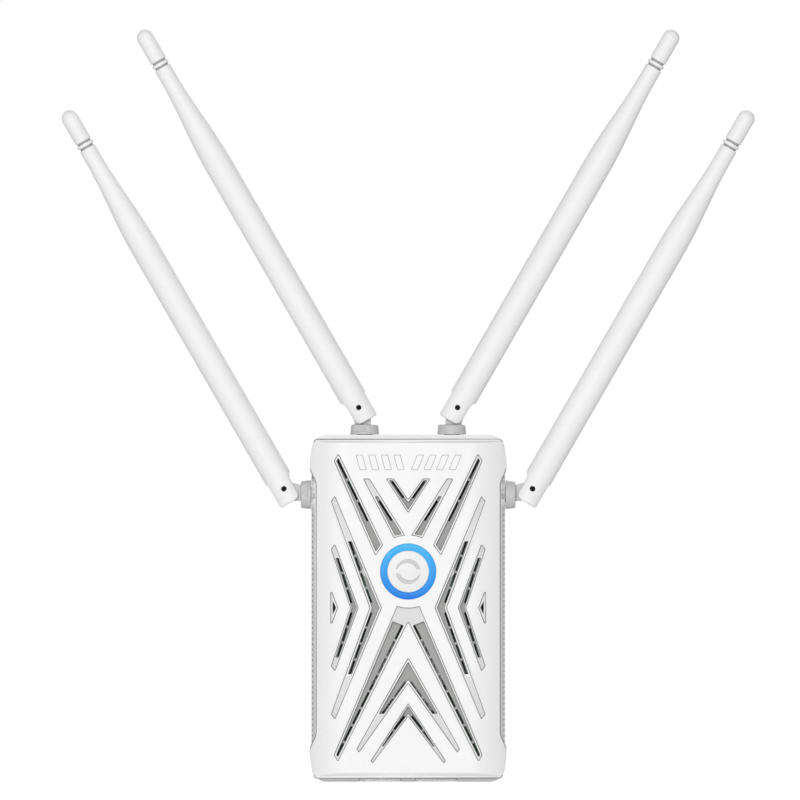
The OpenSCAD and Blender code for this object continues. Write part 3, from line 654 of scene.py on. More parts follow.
def ramp(tree, factor, low, high, start=0.3, end=0.7):
    """A colour ramp between two colours or two grey values."""
    node = add_node(tree, "ValToRGB", {"Fac": factor})
    for stop, value, position in zip(node.color_ramp.elements, (low, high), (start, end)):
        stop.position = position
        stop.color = (*value, 1) if isinstance(value, tuple) else (*grey(value), 1)
    return node.outputs["Color"]


def bump(tree, shader, heights, strength, distance):
    """Bumps of several height outputs, one after the other."""
    last = {}
    for height, share in heights:
        inputs = {"Strength": strength * share, "Distance": distance, "Height": height, **last}
        last = {"Normal": add_node(tree, "Bump", inputs).outputs["Normal"]}
    tree.links.new(last["Normal"], shader.inputs["Normal"])


def moulded_plastic(name, colour, roughness, specular=0.5, grain=0.35):
    """Injection-moulded plastic: faint flow clouds, fine spark texture and handling sheen."""
    material, tree, shader = new_material(name, colour, roughness)
    shader.inputs["Specular IOR Level"].default_value = specular
    place = object_place(tree)
    clouds = noise(tree, place, 45.0, 2.0)
    darker = tuple(c * 0.985 for c in colour)
    tree.links.new(ramp(tree, clouds, darker, colour), shader.inputs["Base Color"])
    patches = noise(tree, place, 130.0, 4.0)
    tree.links.new(ramp(tree, patches, roughness - 0.04, roughness + 0.05), shader.inputs["Roughness"])
    spark = noise(tree, place, 5200.0, 2.0)
    swell = noise(tree, place, 260.0, 1.0)
    bump(tree, shader, [(spark, 1.0), (swell, 0.5)], grain, 0.00002)
    return material


def maths(tree, operation, first, second):
    return add_node(tree, "Math", {0: first, 1: second}, operation=operation).outputs[0]


def grille_plastic_with_painted_shade(name, colour, roughness):
    """Moulded plastic of the side grilles, with painted shade: darkened spots at the holes' pitch along the
    rear rows.
    """
    material = moulded_plastic(name, colour, roughness)
    tree = material.node_tree
    shader = tree.nodes["Principled BSDF"]
    plain = shader.inputs["Base Color"].links[0].from_socket
    split = add_node(tree, "SeparateXYZ", {"Vector": object_place(tree)})
    pitch = SHADE_SPOT_PITCH * MM
    turns = maths(tree, "DIVIDE", maths(tree, "ADD", split.outputs["Z"], 1000 * pitch), pitch)
    near_hole = maths(tree, "GREATER_THAN", maths(tree, "PINGPONG", turns, 0.5), 0.32)
    rear = maths(tree, "GREATER_THAN", split.outputs["Y"], SHADE_SPOTS_FROM_Y * MM)
    spots = maths(tree, "MULTIPLY", near_hole, rear)
    # the spots are painted shade of the holes: a grey of 0.36 mixed over the plastic
    shade = add_node(tree, "Mix", {0: spots, 6: plain, 7: (*grey(0.36), 1)}, data_type="RGBA")
    tree.links.new(shade.outputs[2], shader.inputs["Base Color"])
    return material


def metal(name, colour, roughness):
    """Plated or stamped metal with drawing lines and light staining."""
    material, tree, shader = new_material(name, colour, roughness, 1.0)
    place = object_place(tree)
    lines = noise(tree, place, 900.0, 3.0, (1, 1, 12))
    stains = noise(tree, place, 160.0, 4.0)
    duller = tuple(c * 0.86 for c in colour)
    tree.links.new(ramp(tree, stains, duller, colour), shader.inputs["Base Color"])
    tree.links.new(ramp(tree, lines, roughness - 0.08, roughness + 0.1), shader.inputs["Roughness"])
    bump(tree, shader, [(lines, 1.0)], 0.25, 0.00002)
    return material


def glowing_guide(name, bottom_z, top_z):
    """Lit light guide: blue at the bottom, paler blue at the top, with a soft unevenness."""
    material, tree, shader = new_material(name, (0.004, 0.02, 0.06), 0.5)
    place = object_place(tree)
    split = add_node(tree, "SeparateXYZ", {"Vector": place})
    inputs = {"From Min": bottom_z * MM, "From Max": top_z * MM, "Value": split.outputs["Z"]}
    height = add_node(tree, "MapRange", inputs).outputs["Result"]
    glow = ramp(tree, height, (0.01, 0.21, 0.8), (0.06, 0.5, 0.95), 0.0, 1.0)
    tree.links.new(glow, shader.inputs["Emission Color"])
    flow = noise(tree, place, 300.0, 2.0)
    tree.links.new(ramp(tree, flow, 0.3, 0.42), shader.inputs["Roughness"])
    shader.inputs["Emission Strength"].default_value = 0.92
    shader.inputs["Specular IOR Level"].default_value = 0.15
    bump(tree, shader, [(flow, 1.0)], 0.2, 0.00002)
    return material


def circuit_board(name, mask, copper):
    """Solder mask over copper tracks: a grid of fine ridges with pads that show as metal."""
    material, tree, shader = new_material(name, mask, 0.35)
    place = object_place(tree)
    turned = add_node(tree, "Mapping", {"Rotation": (math.pi / 2, 0, 0), "Vector": place})
    bricks = add_node(tree, "TexBrick", {
        "Scale": 260.0, "Mortar Size": 0.03, "Vector": turned.outputs["Vector"], "Color1": (*mask, 1),
        "Color2": (*[c * 0.8 for c in mask], 1), "Mortar": (*copper, 1)})
    tree.links.new(bricks.outputs["Color"], shader.inputs["Base Color"])
    grain = noise(tree, place, 800.0, 2.0)
    tree.links.new(ramp(tree, grain, 0.28, 0.45), shader.inputs["Roughness"])
    bump(tree, shader, [(bricks.outputs["Fac"], 1.0), (grain, 0.4)], 0.3, 0.00003)
    return material


def wrapped(name, colour, roughness, bands):
    """Tape, shrink sleeve or cable jacket with a fine banding across it."""
    material, tree, shader = new_material(name, colour, roughness)
    place = object_place(tree)
    inputs = {"Scale": bands, "Distortion": 1.5, "Vector": place}
    wave = add_node(tree, "TexWave", inputs, bands_direction="Z").outputs["Fac"]
    darker = tuple(c * 0.8 for c in colour)
    tree.links.new(ramp(tree, wave, darker, colour), shader.inputs["Base Color"])
    mottle = noise(tree, place, 500.0, 3.0)
    tree.links.new(ramp(tree, mottle, roughness - 0.06, roughness + 0.08), shader.inputs["Roughness"])
    bump(tree, shader, [(wave, 1.0), (mottle, 0.5)], 0.3, 0.00003)
    return material


# each look's colour and roughness, and what else its material takes
PLASTICS = {
    "cover_plastic": (grey(0.86), 0.42),
    # the recess and edge looks are painted shade: darker greys for recess floors, steep walls and the seam
    "recess_plastic": (grey(0.7), 0.5),
    "edge_plastic": (grey(0.34), 0.5, 0.25),
    "housing_plastic": (grey(0.8), 0.48),
    "liner_plastic": ((0.4, 0.4, 0.395), 0.6, 0.25),
    "plug_plastic": ((0.82, 0.82, 0.81), 0.4),
    "knuckle_plastic": (grey(0.56), 0.45),
    "aerial_plastic": (grey(0.89), 0.5, 0.3),
    # painted shade for the grooves of the aerials' tips
    "groove_plastic": (grey(0.42), 0.5, 0.2),
    "button_plastic": (grey(0.8), 0.4),
    # painted shade for the button's engraved crescents
    "crescent_plastic": (grey(0.6), 0.5),
    "black_plastic": (grey(0.012), 0.45),
    "pin_steel": (grey(0.004), 0.6, 0.1),
    "fuse_ceramic": ((0.75, 0.72, 0.64), 0.35),
    "led_lens": ((0.8, 0.75, 0.5), 0.2),
}
METALS = {
    "brass_plate": ((0.82, 0.78, 0.7), 0.28),
    "gold_plate": ((0.95, 0.7, 0.32), 0.25),
    "steel": ((0.62, 0.62, 0.63), 0.34),
    "shield_steel": ((0.68, 0.68, 0.7), 0.3),
    # near-black shields: painted shade seen through the liner's slits, in place of the tinned steel's colour
    "dull_shield": ((0.07, 0.07, 0.075), 0.6),
    "heat_sink_metal": ((0.4, 0.41, 0.43), 0.42),
}
BOARDS = {
    "board": ((0.02, 0.14, 0.06), (0.05, 0.24, 0.1)),
    "power_board_laminate": ((0.45, 0.3, 0.14), (0.55, 0.38, 0.2)),
}
WRAPS = {
    "transformer_tape": ((0.75, 0.55, 0.1), 0.35, 400.0),
    "capacitor_sleeve": ((0.02, 0.03, 0.09), 0.3, 250.0),
    "lead_jacket": ((0.35, 0.02, 0.02), 0.4, 600.0),
    "coax_jacket": (grey(0.05), 0.4, 700.0),
}
MATERIALS = {
    "light_guide": glowing_guide("light_guide", BUTTON_Z - RING_R, BUTTON_Z + RING_R),
    "grille_plastic": grille_plastic_with_painted_shade("grille_plastic", grey(0.86), 0.5),
}
for make, table in ((moulded_plastic, PLASTICS), (metal, METALS), (circuit_board, BOARDS), (wrapped, WRAPS)):
    MATERIALS.update({name: make(name, *look) for name, look in table.items()})


# ---- front cover ----

def front_surface(x, depth):
    """The front's y at some depth below it: flat in the middle, an arc at the sides."""
    over = np.maximum(np.abs(x) - FLAT_HW, 0)
    return FRONT_Y + SIDE_R - np.sqrt((SIDE_R - depth) ** 2 - over ** 2)


def front_normal(x, depth):
    over = np.maximum(np.abs(x) - FLAT_HW, 0) / (SIDE_R - depth)
    return np.stack([np.sign(x) * over, -np.sqrt(1 - over ** 2), np.zeros(len(x))], axis=1)


def half_width(z):
    """The cover's half width at a height above its middle."""
    if z > SHOULDER_HH:
        return COVER_HW - (COVER_HW - CORNER_HW) * ((z - SHOULDER_HH) / (COVER_HH - SHOULDER_HH)) ** 2
    if z > WAIST_HH:
        share = (SHOULDER_HH - z) / (SHOULDER_HH - WAIST_HH)
        return WAIST_HW + (COVER_HW - WAIST_HW) * (1 + math.cos(math.pi * share)) / 2
    return WAIST_HW


def cover_outline(inset):
    """The cover's outline about its middle, from the top right round to the top left."""
    radius = max(CORNER_R - inset, 0.3)
    corner_z = COVER_HH - inset - radius
    corner_x = half_width(corner_z) - inset - radius
    side = arc((corner_x, corner_z), radius, 90, 6, 6)
    heights = list(np.linspace(corner_z, SHOULDER_HH, 9)[1:]) + [CUTAWAY_HH]
    heights += list(np.linspace(CUTAWAY_HH, WAIST_HH, 9)[1:]) + [40, 30, 20, 10]
    side += [[half_width(z) - inset, z] for z in heights]
    right = side + [[half_width(0) - inset, 0]] + [[x, -z] for x, z in reversed(side)]
    return np.array(right + mirrored(right))


def channel_list():
    """Every channel's outline about the button's centre, two of them cut off round the ring."""
    half = [CHANNEL_A, cut_round(CHANNEL_B, RING_GAP_R), CHANNEL_D, CHANNEL_E, CHANNEL_F]
    whole = [CHANNEL_C, cut_round(CHANNEL_G, RING_GAP_R), CHANNEL_H, CHANNEL_I]
    return [np.array(p, float) for p in half + [mirrored(p) for p in half] + whole]


def slot_list():
    """Every slot's outline about the button's centre."""
    half = [(CHANNEL_A, 1), (SLOT_B, 1), (SLOT_D, 1), (SLOT_E, 0.75), (SLOT_F, 0.75), (SLOT_G, 1)]
    whole = [(CHANNEL_C, 0.8), (SLOT_H, 1), (SLOT_I, 0.75)]
    both = half + [(mirrored(p), share) for p, share in half] + whole
    return [grow(p, -SLOT_INSET * share) for p, share in both]


def badge_list():
    """A generic raised badge: a row of slanted bars, about the button's centre."""
    bars = []
    for s in (-1, 1):
        for i in range(4):
            bar = np.array([[-1.5 - s, -2.9], [1.1 - s, -2.9], [1.5 + s, 2.9], [-1.1 + s, 2.9]])
            bars.append(bar + [s * (3.6 + i * 4.9), 42.5])
    return bars


def flat_side(outer, holes, to_y):
    """Triangles across an outline with holes, at the y that to_y gives."""
    plan = new_plan()
    add_loop(plan, outer, 0, True)
    for hole in holes:
        add_loop(plan, hole, 0, True)
    points, faces, *_ = triangulate(plan, outer, holes)
    return np.stack([points[:, 0], to_y(points[:, 0]), points[:, 1]], axis=1), faces.tolist()


def cover_front():
    """The cover's outer face as a plan, with its holes."""
    plan = new_plan()
    outline = cover_outline(0) + [0, BODY_Z]
    lip = SIDE_LIP_R + (LIP_R - SIDE_LIP_R) * unit(outward(outline))[:, 1] ** 2
    rim = None
    for angle in LIP_ANGLES:
        share, drop = 1 - math.cos(math.radians(angle)), 1 - math.sin(math.radians(angle))
        loop = add_loop(plan, grow(outline, -lip * share), lip * drop, angle == 90)
        rim = loop if rim is None else rim
    centre = [0, BUTTON_Z]
    pools, holes = [], []
    for p in channel_list():
        pools.append((add_relief(plan, p + centre, CHANNEL_EDGE, 0.4), CHANNEL_DEPTH))
    for p in slot_list():
        holes.append(add_relief(plan, p + centre, SLOT_EDGE, 0.2, CHANNEL_DEPTH))
    for p in badge_list():
        pools.append((add_relief(plan, p + centre, BADGE_EDGE, 0.3), BADGE_EDGE[-1][1]))
    for out, depth, level in RING_HOLE_EDGE:
        last = circle(RING_R + 0.1 + out, 96, centre)
        add_loop(plan, last, depth, level)
    holes.append(last)
    add_grid(plan, outline, pools, holes, 1.2, 2.4, 0.45)
    return plan, outline, rim, holes


def cover_walls(outline, top_y, inner_y):
    """Rows of points down the outside and inside walls, and the faces between them."""
    count = len(outline)
    inner = cover_outline(WALL) + [0, BODY_Z]
    edge = outline - unit(outward(outline)) * 0.15
    height = np.abs(outline[:, 1] - BODY_Z)
    corner = height >= CUTAWAY_HH - 1e-6
    open_side = height <= CUTAWAY_HH + 1e-6
    rows = [
        (outline, top_y),
        (outline, np.full(count, CUTAWAY_Y - 0.2)),
        (np.where(open_side[:, None], edge, outline), np.full(count, CUTAWAY_Y)),
        (outline, np.full(count, COVER_BACK_Y - 0.2)),
        (edge, np.full(count, COVER_BACK_Y)),
        (inner, np.full(count, COVER_BACK_Y)),
        (inner, np.full(count, CUTAWAY_Y)),
        (inner, inner_y),
    ]
    points = np.concatenate([np.stack([p[:, 0], y, p[:, 1]], axis=1) for p, y in rows])
    faces = []
    for i in range(count):
        j = (i + 1) % count
        deep = corner[i] and corner[j]
        steps = [0, 1, 2, 3, 4, 5, 6, 7] if deep else [0, 1, 2, 6, 7]
        for a, b in zip(steps, steps[1:]):
            faces.append([a * count + i, a * count + j, b * count + j, b * count + i])
    for i in range(count):
        before, after = (i - 1) % count, (i + 1) % count
        if corner[i] and (corner[before] != corner[after]):
            faces.append([k * count + i for k in (2, 3, 4, 5, 6)])
    return points, faces


def cover_bosses():
    """Screw posts and light-board posts on the inside of the cover."""
    parts = []
    screws = [(s * SCREW_X, BODY_Z + z, 3.2, 1.4, -13.1) for s in (-1, 1) for z in SCREW_ZS]
    posts = [(x, BUTTON_Z + z, 1.9, 0.9, FRONT_Y + 8.4) for x, z in BOARD_POSTS]
    for x, z, outer, bore, end_y in screws + posts:
        root_y = float(front_surface(np.array([x]), 1.6)[0])
        length = end_y - root_y
        profile = [[0, 0], [outer + 0.4, 0], [outer, 1.2], [outer, length - 0.3], [outer - 0.3, length],
                   [bore + 0.3, length], [bore, length - 0.3], [bore, 2.4], [0, 2.4]]
        tube = lathe(profile, 40)
        parts.append(moved(tube, shift(x, root_y, z) @ rotation("x", -90)))
    return parts


def cover_marks(points, faces, depth, outline):
    """Each front face's look: 0 plain, 1 the floor of a recess, in a grey of painted shade, 2 a steep wall or
    the seam, in a darker grey of painted shade.
    """
    middle = points[faces].mean(axis=1)
    deep = depth[faces].mean(axis=1)
    steep = np.ptp(depth[faces], axis=1) > 0.05
    recess = (deep > 0.1) & inside(middle, grow(outline, -LIP_R - 0.1))
    height = np.abs(middle[:, 1] - BODY_Z)
    seam = ~inside(middle, grow(outline, -SEAM_SHADE_W)) & ((height < CUTAWAY_HH) | (height > COVER_HH - 1.5))
    # steep walls of the recesses and of the raised badge bars, and the seam strip, get the darker painted
    # shade
    dark = (recess & steep) | ((deep < -0.02) & steep) | seam
    for p in slot_list():
        # floors beside the slots stay plain, without the painted shade
        recess &= ~inside(middle, grow(p, LAND_W) + [0, BUTTON_Z])
    return np.where(dark, 2, recess).tolist()


def make_cover():
    plan, outline, rim, holes = cover_front()
    points, faces, depth, level, source = triangulate(plan, outline, holes)
    lip = np.zeros(len(points), bool)
    lip[[source[k] for k in range(len(rim) * len(LIP_ANGLES))]] = True
    x = points[:, 0]
    sunk = front_surface(x, np.maximum(depth, 0)) + np.minimum(depth, 0)
    y = np.where(lip, front_surface(x, 0) + depth, sunk)
    verts = np.stack([x, y, points[:, 1]], axis=1)
    normals = np.where(level[:, None], front_normal(x, np.clip(depth, 0, 1)), 0)
    inner_outline = cover_outline(WALL) + [0, BODY_Z]

    def inner_surface(x):
        return np.minimum(front_surface(x, WALL), CUTAWAY_Y - 0.6)

    top_y = np.array([y[source[i]] for i in rim])
    part, marks = joined([
        (verts, faces.tolist(), normals, cover_marks(points, faces, depth, outline)),
        (*cover_walls(outline, top_y, inner_surface(inner_outline[:, 0])), None, None),
        (*flat_side(inner_outline, holes, inner_surface), None, None)])
    bosses = cover_bosses()
    marks += [0] * sum(len(boss[1]) for boss in bosses)
    make_piece("front_cover_shell", [part, *bosses], "case", "cover_plastic", "front_cover", 34,
               ("recess_plastic", "edge_plastic"), marks)


# ---- vent liner ----

def slit_list():
    """Every slit's outline about the button's centre."""
    slits = []
    for start, end, count, offset in SLIT_ROWS:
        start, end = np.array(start, float), np.array(end, float)
        along = unit(end - start)
        across = np.array([-along[1], along[0]])
        length = (np.linalg.norm(end - start) - (count - 1) * SLIT_RIB) / count
        for i in range(count):
            low = start + i * (length + SLIT_RIB) * along + offset * across
            slit = [low - across * SLIT_W / 2, low + along * length - across * SLIT_W / 2,
                    low + along * length + across * SLIT_W / 2, low + across * SLIT_W / 2]
            slits += [slit, mirrored(slit)]
    return slits


def make_liner():
    top, bottom = liner_high[2], liner_low[2]
    half = liner_high[0]
    outline = np.array([[half, top], [half, bottom], [-half, bottom], [-half, top]])
    centre = [0, BUTTON_Z]
    start = WALL + 0.1
    plan, holes = new_plan(), []
    rows = []
    for out, depth, level in [(0, 0.3, False), (-0.09, 0.09, False), (-0.3, 0, True)]:
        rows.append(add_loop(plan, grow(outline, out), depth, level))
    for p in slit_list():
        holes.append(add_relief(plan, np.array(p) + centre, SLIT_EDGE, 0.12))
    round_holes = [(0, 0, LINER_HOLE_R)] + [(x, z, POST_HOLE_R) for x, z in BOARD_POSTS]
    for x, z, r in round_holes:
        for out, depth, level in SLIT_EDGE:
            last = circle(r + out, 64 if r > 5 else 24, (x, BUTTON_Z + z))
            add_loop(plan, last, depth, level)
        holes.append(last)
    add_grid(plan, outline, [], holes, 1.5, 3.0, 0.4)
    points, faces, depth, level, source = triangulate(plan, outline, holes)
    x = points[:, 0]
    verts = np.stack([x, front_surface(x, start + depth), points[:, 1]], axis=1)
    normals = np.where(level[:, None], front_normal(x, start + depth), 0)

    def back(x):
        return front_surface(x, start + LINER_T)

    rim = np.array([source[i] for i in rows[0]])
    rim_xz = points[rim]
    count = len(rim)
    behind = np.stack([rim_xz[:, 0], back(rim_xz[:, 0]), rim_xz[:, 1]], axis=1)
    wall = np.concatenate([verts[rim], behind])
    wall_faces = [[i, (i + 1) % count, count + (i + 1) % count, count + i] for i in range(count)]
    part, _ = joined([(verts, faces.tolist(), normals, None), (wall, wall_faces, None, None),
                      (*flat_side(rim_xz, holes, back), None, None)])
    make_piece("vent_liner_panel", [part], "case", "liner_plastic", "vent_liner", 34)


# ---- light ring and button ----

def make_light_ring():
    front = -RING_Y
    flange_front, flange_back = -(FRONT_Y + WALL + 0.05), -(FRONT_Y + WALL + 1.2)
    back = -(FRONT_Y + 6.4)
    outer = [[RING_R, flange_front + 0.01]] + arc((RING_R - 0.35, front - 0.35), 0.35, 0, 90, 4)
    inner = arc((RING_BORE_R + 0.3, front - 0.3), 0.3, 90, 180, 4) + [[RING_BORE_R, -(FRONT_Y + 3)]]
    rear = [[9.1, -(FRONT_Y + 3)], [9.1, back + 0.2], [9.3, back], [RING_R - 0.2, back],
            [RING_R, back + 0.2]]
    flange = [[RING_R, flange_back], [12.4, flange_back], [12.6, flange_back + 0.2],
              [12.6, flange_front - 0.2], [12.4, flange_front]]
    part = lathe(outer + inner + rear + flange, 128, closed=True)
    placed = moved(part, facing_front(BUTTON_Z))
    make_piece("light_ring_guide", [placed], "case", "light_guide", "light_ring", 40)


def crescent(turn):
    """One of the button's two engraved crescents."""
    outer_r, inner_r, shift_x, shift_z, cut_z = 4.8, 4.3, -0.5, -0.9, 0.9
    first = math.degrees(math.asin(cut_z / outer_r))
    outer = arc((0, 0), outer_r, first, 180 - first, 22)
    start = math.degrees(math.asin((cut_z - shift_z) / inner_r))
    inner = arc((shift_x, shift_z), inner_r, 180 - start, start, 20)
    points = np.array(outer + inner)
    a = math.radians(turn)
    return points @ np.array([[math.cos(a), math.sin(a)], [-math.sin(a), math.cos(a)]])


def make_button():
    """The button's cap: a crowned face with two crescents, a skirt, a flange and a stem."""
    crown = 0.22
    plan, centre = new_plan(), [0, BUTTON_Z]
    edge_r = 0.45
    rim = None
    for angle in (0, 22, 45, 68, 90):
        radius = BUTTON_R - edge_r * (1 - math.cos(math.radians(angle)))
        drop = edge_r * (1 - math.sin(math.radians(angle)))
        loop = add_loop(plan, circle(radius, 128, centre), drop, angle == 90)
        rim = loop if rim is None else rim
    for turn in (0, 180):
        add_relief(plan, crescent(turn) + centre, CRESCENT_EDGE, 0.1)
    for radius, count in ((7.2, 80), (6.4, 72), (5.6, 64), (3.4, 36), (2.4, 28), (1.2, 14)):
        add_loop(plan, circle(radius, count, centre), 0, True)
    outline = circle(BUTTON_R, 128, centre)
    points, faces, depth, level, source = triangulate(plan, outline, [])
    r2 = points[:, 0] ** 2 + (points[:, 1] - BUTTON_Z) ** 2
    y = BUTTON_Y + crown * r2 / BUTTON_R ** 2 + depth
    verts = np.stack([points[:, 0], y, points[:, 1]], axis=1)
    slope = np.stack([2 * crown * points[:, 0] / BUTTON_R ** 2, -np.ones(len(points)),
                      2 * crown * (points[:, 1] - BUTTON_Z) / BUTTON_R ** 2], axis=1)
    normals = np.where(level[:, None], unit(slope), 0)
    top = -float(y[source[rim[0]]])
    skirt_end, flange_end, stem_end = -(FRONT_Y + 3.1), -(FRONT_Y + 4.2), -(FRONT_Y + 5.6)
    profile = [[BUTTON_R, top], [BUTTON_R, skirt_end], [8.65, skirt_end], [8.8, skirt_end - 0.15],
               [8.8, flange_end + 0.15], [8.65, flange_end], [7, flange_end], [7, -(FRONT_Y + 1.6)],
               [2.4, -(FRONT_Y + 1.6)], [2.4, stem_end + 0.2], [2.2, stem_end], [0, stem_end]]
    skirt = moved(lathe(profile, 128), facing_front(BUTTON_Z))
    # the crescents' sunk faces take a darker grey: painted shade
    marks = ((depth[faces].mean(axis=1) > 0.02) & (r2[faces].mean(axis=1) < 36)).astype(int).tolist()
    part, marks = joined([(verts, faces.tolist(), normals, marks), (*skirt, None)])
    make_piece("sync_button_cap", [part], "sync_key", "button_plastic", "sync_button", 34,
               ("crescent_plastic",), marks)


# ---- aerials ----

def tangent_point(p, centre, radius, side):
    d = math.dist(p, centre)
    a = math.atan2(centre[1] - p[1], centre[0] - p[0]) + side * math.asin(radius / d)
    reach = math.sqrt(d * d - radius * radius)
    return [p[0] + reach * math.cos(a), p[1] + reach * math.sin(a)]


EYE = [PIN_OFFSET, COLLAR_H + PIN_RISE]
TONGUE_BACK = [-2.4, COLLAR_H + 3.2]
TONGUE_FOLD = [3.7, COLLAR_H]
TONGUE = [
    [TONGUE_BACK[0], 2], TONGUE_BACK, tangent_point(TONGUE_BACK, EYE, EYE_R, 1), EYE,
    tangent_point(TONGUE_FOLD, EYE, EYE_R, -1), TONGUE_FOLD, [TONGUE_FOLD[0], 2],
]


def swivel_distance(p):
    """Swivel in its seat's frame: tapered collar with a thumb flat, tongue with an eye, and shaft."""
    x, y, z = p[..., 0], p[..., 1], p[..., 2]
    radial = np.hypot(x, y)
    taper = (COLLAR_R - COLLAR_END_R) / COLLAR_H
    collar = smooth_max(radial - (COLLAR_R - taper * z), z - COLLAR_H, 0.8)
    collar = smooth_max(collar, 0.15 - z, 0.4)
    turn = math.radians(THUMB_TURN)
    flat_y = x * math.sin(turn) + y * math.cos(turn)
    collar = smooth_max(collar, -np.maximum(THUMB_FLAT_Y - flat_y, THUMB_LEDGE_Z - z), 0.3)
    eye = np.hypot(x - EYE[0], z - EYE[1]) - EYE_R
    outline = np.minimum(eye, polygon_distance(x, z, TONGUE))
    tongue = smooth_max(outline, np.abs(y) - TONGUE_HW, 0.6)
    body = smooth_min(collar, tongue, 0.6)
    shaft = smooth_max(smooth_max(radial - SHAFT_R, z - 1, 0.2), SHAFT_END_Z - z, 0.5)
    body = smooth_min(body, shaft, 0.25)
    body = np.minimum(body, box_distance(p, (2.4, -0.8, -4.7), (5.2, 0.8, -3.8)))
    groove = np.maximum(np.abs(z - CLIP_GROOVE_Z) - CLIP_GROOVE_HW, CLIP_GROOVE_R - radial)
    body = smooth_max(body, -groove, 0.15)
    lead = np.maximum(np.hypot(x - LEAD_BORE_X, y) - LEAD_BORE_R, -8 - z)
    bore = np.hypot(x - EYE[0], z - EYE[1]) - PIN_R - 0.05
    return smooth_max(smooth_max(body, -lead, 0.2), -bore, 0.25)


def ear_distance(p):
    """Forked foot of the sleeve in the arm's frame, up to the parting line."""
    x, y, z = p[..., 0], p[..., 1], p[..., 2]
    radial = np.hypot(x, y)
    body = smooth_max(radial - ARM_R, -EAR_DROP - z, 1.0)
    body = smooth_max(body, z - EAR_TOP, 0.12)
    reach_x, reach_z = x - (EAR_FOLD_X - EAR_CORNER_R), EAR_CORNER_R - EAR_DROP - z
    corner = np.hypot(np.maximum(reach_x, 0), np.maximum(reach_z, 0)) - EAR_CORNER_R
    corner = corner + np.minimum(np.maximum(reach_x, reach_z), 0)
    slope = ((x - EAR_FOLD_X) * 2.2 - (z - 3.2) * 1.95) / math.hypot(2.2, 1.95)
    body = smooth_max(body, smooth_min(corner, slope, 0.6), 0.6)
    fork = np.maximum(np.abs(y) - FORK_HW, z - FORK_ROOT)
    body = smooth_max(body, -fork, 0.5)
    bore = np.hypot(x, z) - PIN_R - 0.06
    body = smooth_max(body, -bore, 0.3)
    way = np.maximum(radial - LEAD_WAY_R, z - LEAD_WAY_TOP)
    hollow = np.maximum(radial - TUBE_BORE_R, TUBE_BORE_Z - z)
    return smooth_max(body, -np.minimum(way, hollow), 0.2)


def sleeve_tube():
    """Hollow sleeve above the parting line, thinning to its neck."""
    outer = [[ARM_R - 0.05, EAR_TOP - 0.35], [ARM_R, EAR_TOP - 0.33]]
    outer += [[ARM_R + 0.01, EAR_TOP + z] for z in (-0.27, -0.2, 0, 0.5)]
    outer += [[ARM_R, z] for z in np.linspace(EAR_TOP + 4, TAPER_BOTTOM, 12)]
    steps = 36
    for i in range(1, steps + 1):
        share = (1 - math.cos(math.pi * i / steps)) / 2
        z = TAPER_BOTTOM + (TAPER_TOP - TAPER_BOTTOM) * i / steps
        outer.append([ARM_R + (NECK_R - ARM_R) * share, z])
    outer += arc((NECK_R - 0.25, SLEEVE_L - 0.25), 0.25, 0, 90, 4)
    inner = [[2.3, SLEEVE_L], [2.3, TAPER_BOTTOM - 3], [4.2, TAPER_BOTTOM - 4], [4.2, EAR_TOP - 0.35]]
    return lathe(outer + inner, 96, closed=True)


def aerial_tip():
    """Tip: spigot, ring between two grooves, and cap with a domed end."""
    base = SLEEVE_L
    band = base + GROOVE_L
    cap = base + 2 * GROOVE_L + BAND_L
    band_r = CAP_R + 0.1
    groove_r = CAP_R - 0.55
    foot = base - SPIGOT_L
    profile = [[0, foot], [SPIGOT_R - 0.2, foot], [SPIGOT_R, foot + 0.2], [SPIGOT_R, base + 0.02]]
    profile += [[groove_r, base + 0.02], [groove_r, band]]
    profile += arc((band_r - 0.2, band + 0.2), 0.2, -90, 0, 3)
    profile += arc((band_r - 0.2, band + BAND_L - 0.2), 0.2, 0, 90, 3)
    profile += [[groove_r, band + BAND_L], [groove_r, cap]]
    profile += arc((CAP_R - 0.22, cap + 0.22), 0.22, -90, 0, 3)
    profile += [[CAP_R, z] for z in np.linspace(cap + 2, cap + CAP_L - CAP_R - 0.5, 4)]
    profile += arc((0, cap + CAP_L - CAP_R), CAP_R, 0, 90, 14)
    return lathe(profile, 96)


def hinge_pin():
    """Black pin with slightly domed ends, along Y."""
    end = ARM_R - 0.05
    side = arc((PIN_R - 0.2, end - 0.2), 0.2, 0, 60, 2) + [[0.45, end - 0.005], [0, end]]
    profile = [[r, -z] for r, z in reversed(side)] + side
    return moved(lathe(profile, 48), rotation("x", -90))


def retaining_clip():
    """Open ring in the shaft's groove, bent from flat stock."""
    thickness, inner_r, outer_r, opening = 0.9, 2.58, 3.95, 22
    angles = np.radians(np.linspace(180 + opening, 540 - opening, 72))
    bevel = 0.12
    section = [[inner_r, bevel], [inner_r + bevel, 0], [outer_r - bevel, 0], [outer_r, bevel],
               [outer_r, thickness - bevel], [outer_r - bevel, thickness], [inner_r + bevel, thickness],
               [inner_r, thickness - bevel]]
    verts = [(r * math.cos(a), r * math.sin(a), z - 3.45) for a in angles for r, z in section]
    n = len(section)
    faces = [[k * n + i, k * n + (i + 1) % n, (k + 1) * n + (i + 1) % n, (k + 1) * n + i]
             for k in range(len(angles) - 1) for i in range(n)]
    faces += [list(range(n)), list(range((len(angles) - 1) * n, len(angles) * n))]
    return np.array(verts), faces


def seat_matrix(place, hand):
    """A seat's frame: +Z along the swivel's axis and +X towards the fold."""
    side = -1 if hand == "left" else 1
    low, high = limits(f"{place}_{hand}_swivel")
    y = (low[1] + high[1]) / 2
    turn = np.eye(4) if side > 0 else rotation("z", 180)
    if place == "top":
        return shift(side * TOP_SEAT_X, y, HOUSING_TOP) @ turn
    swap = np.array([[0, 0, 1, 0], [0, 1, 0, 0], [1, 0, 0, 0], [0, 0, 0, 1]], float)
    return shift(side * SIDE_SEAT_X, y, SIDE_SEAT_Z) @ turn @ swap


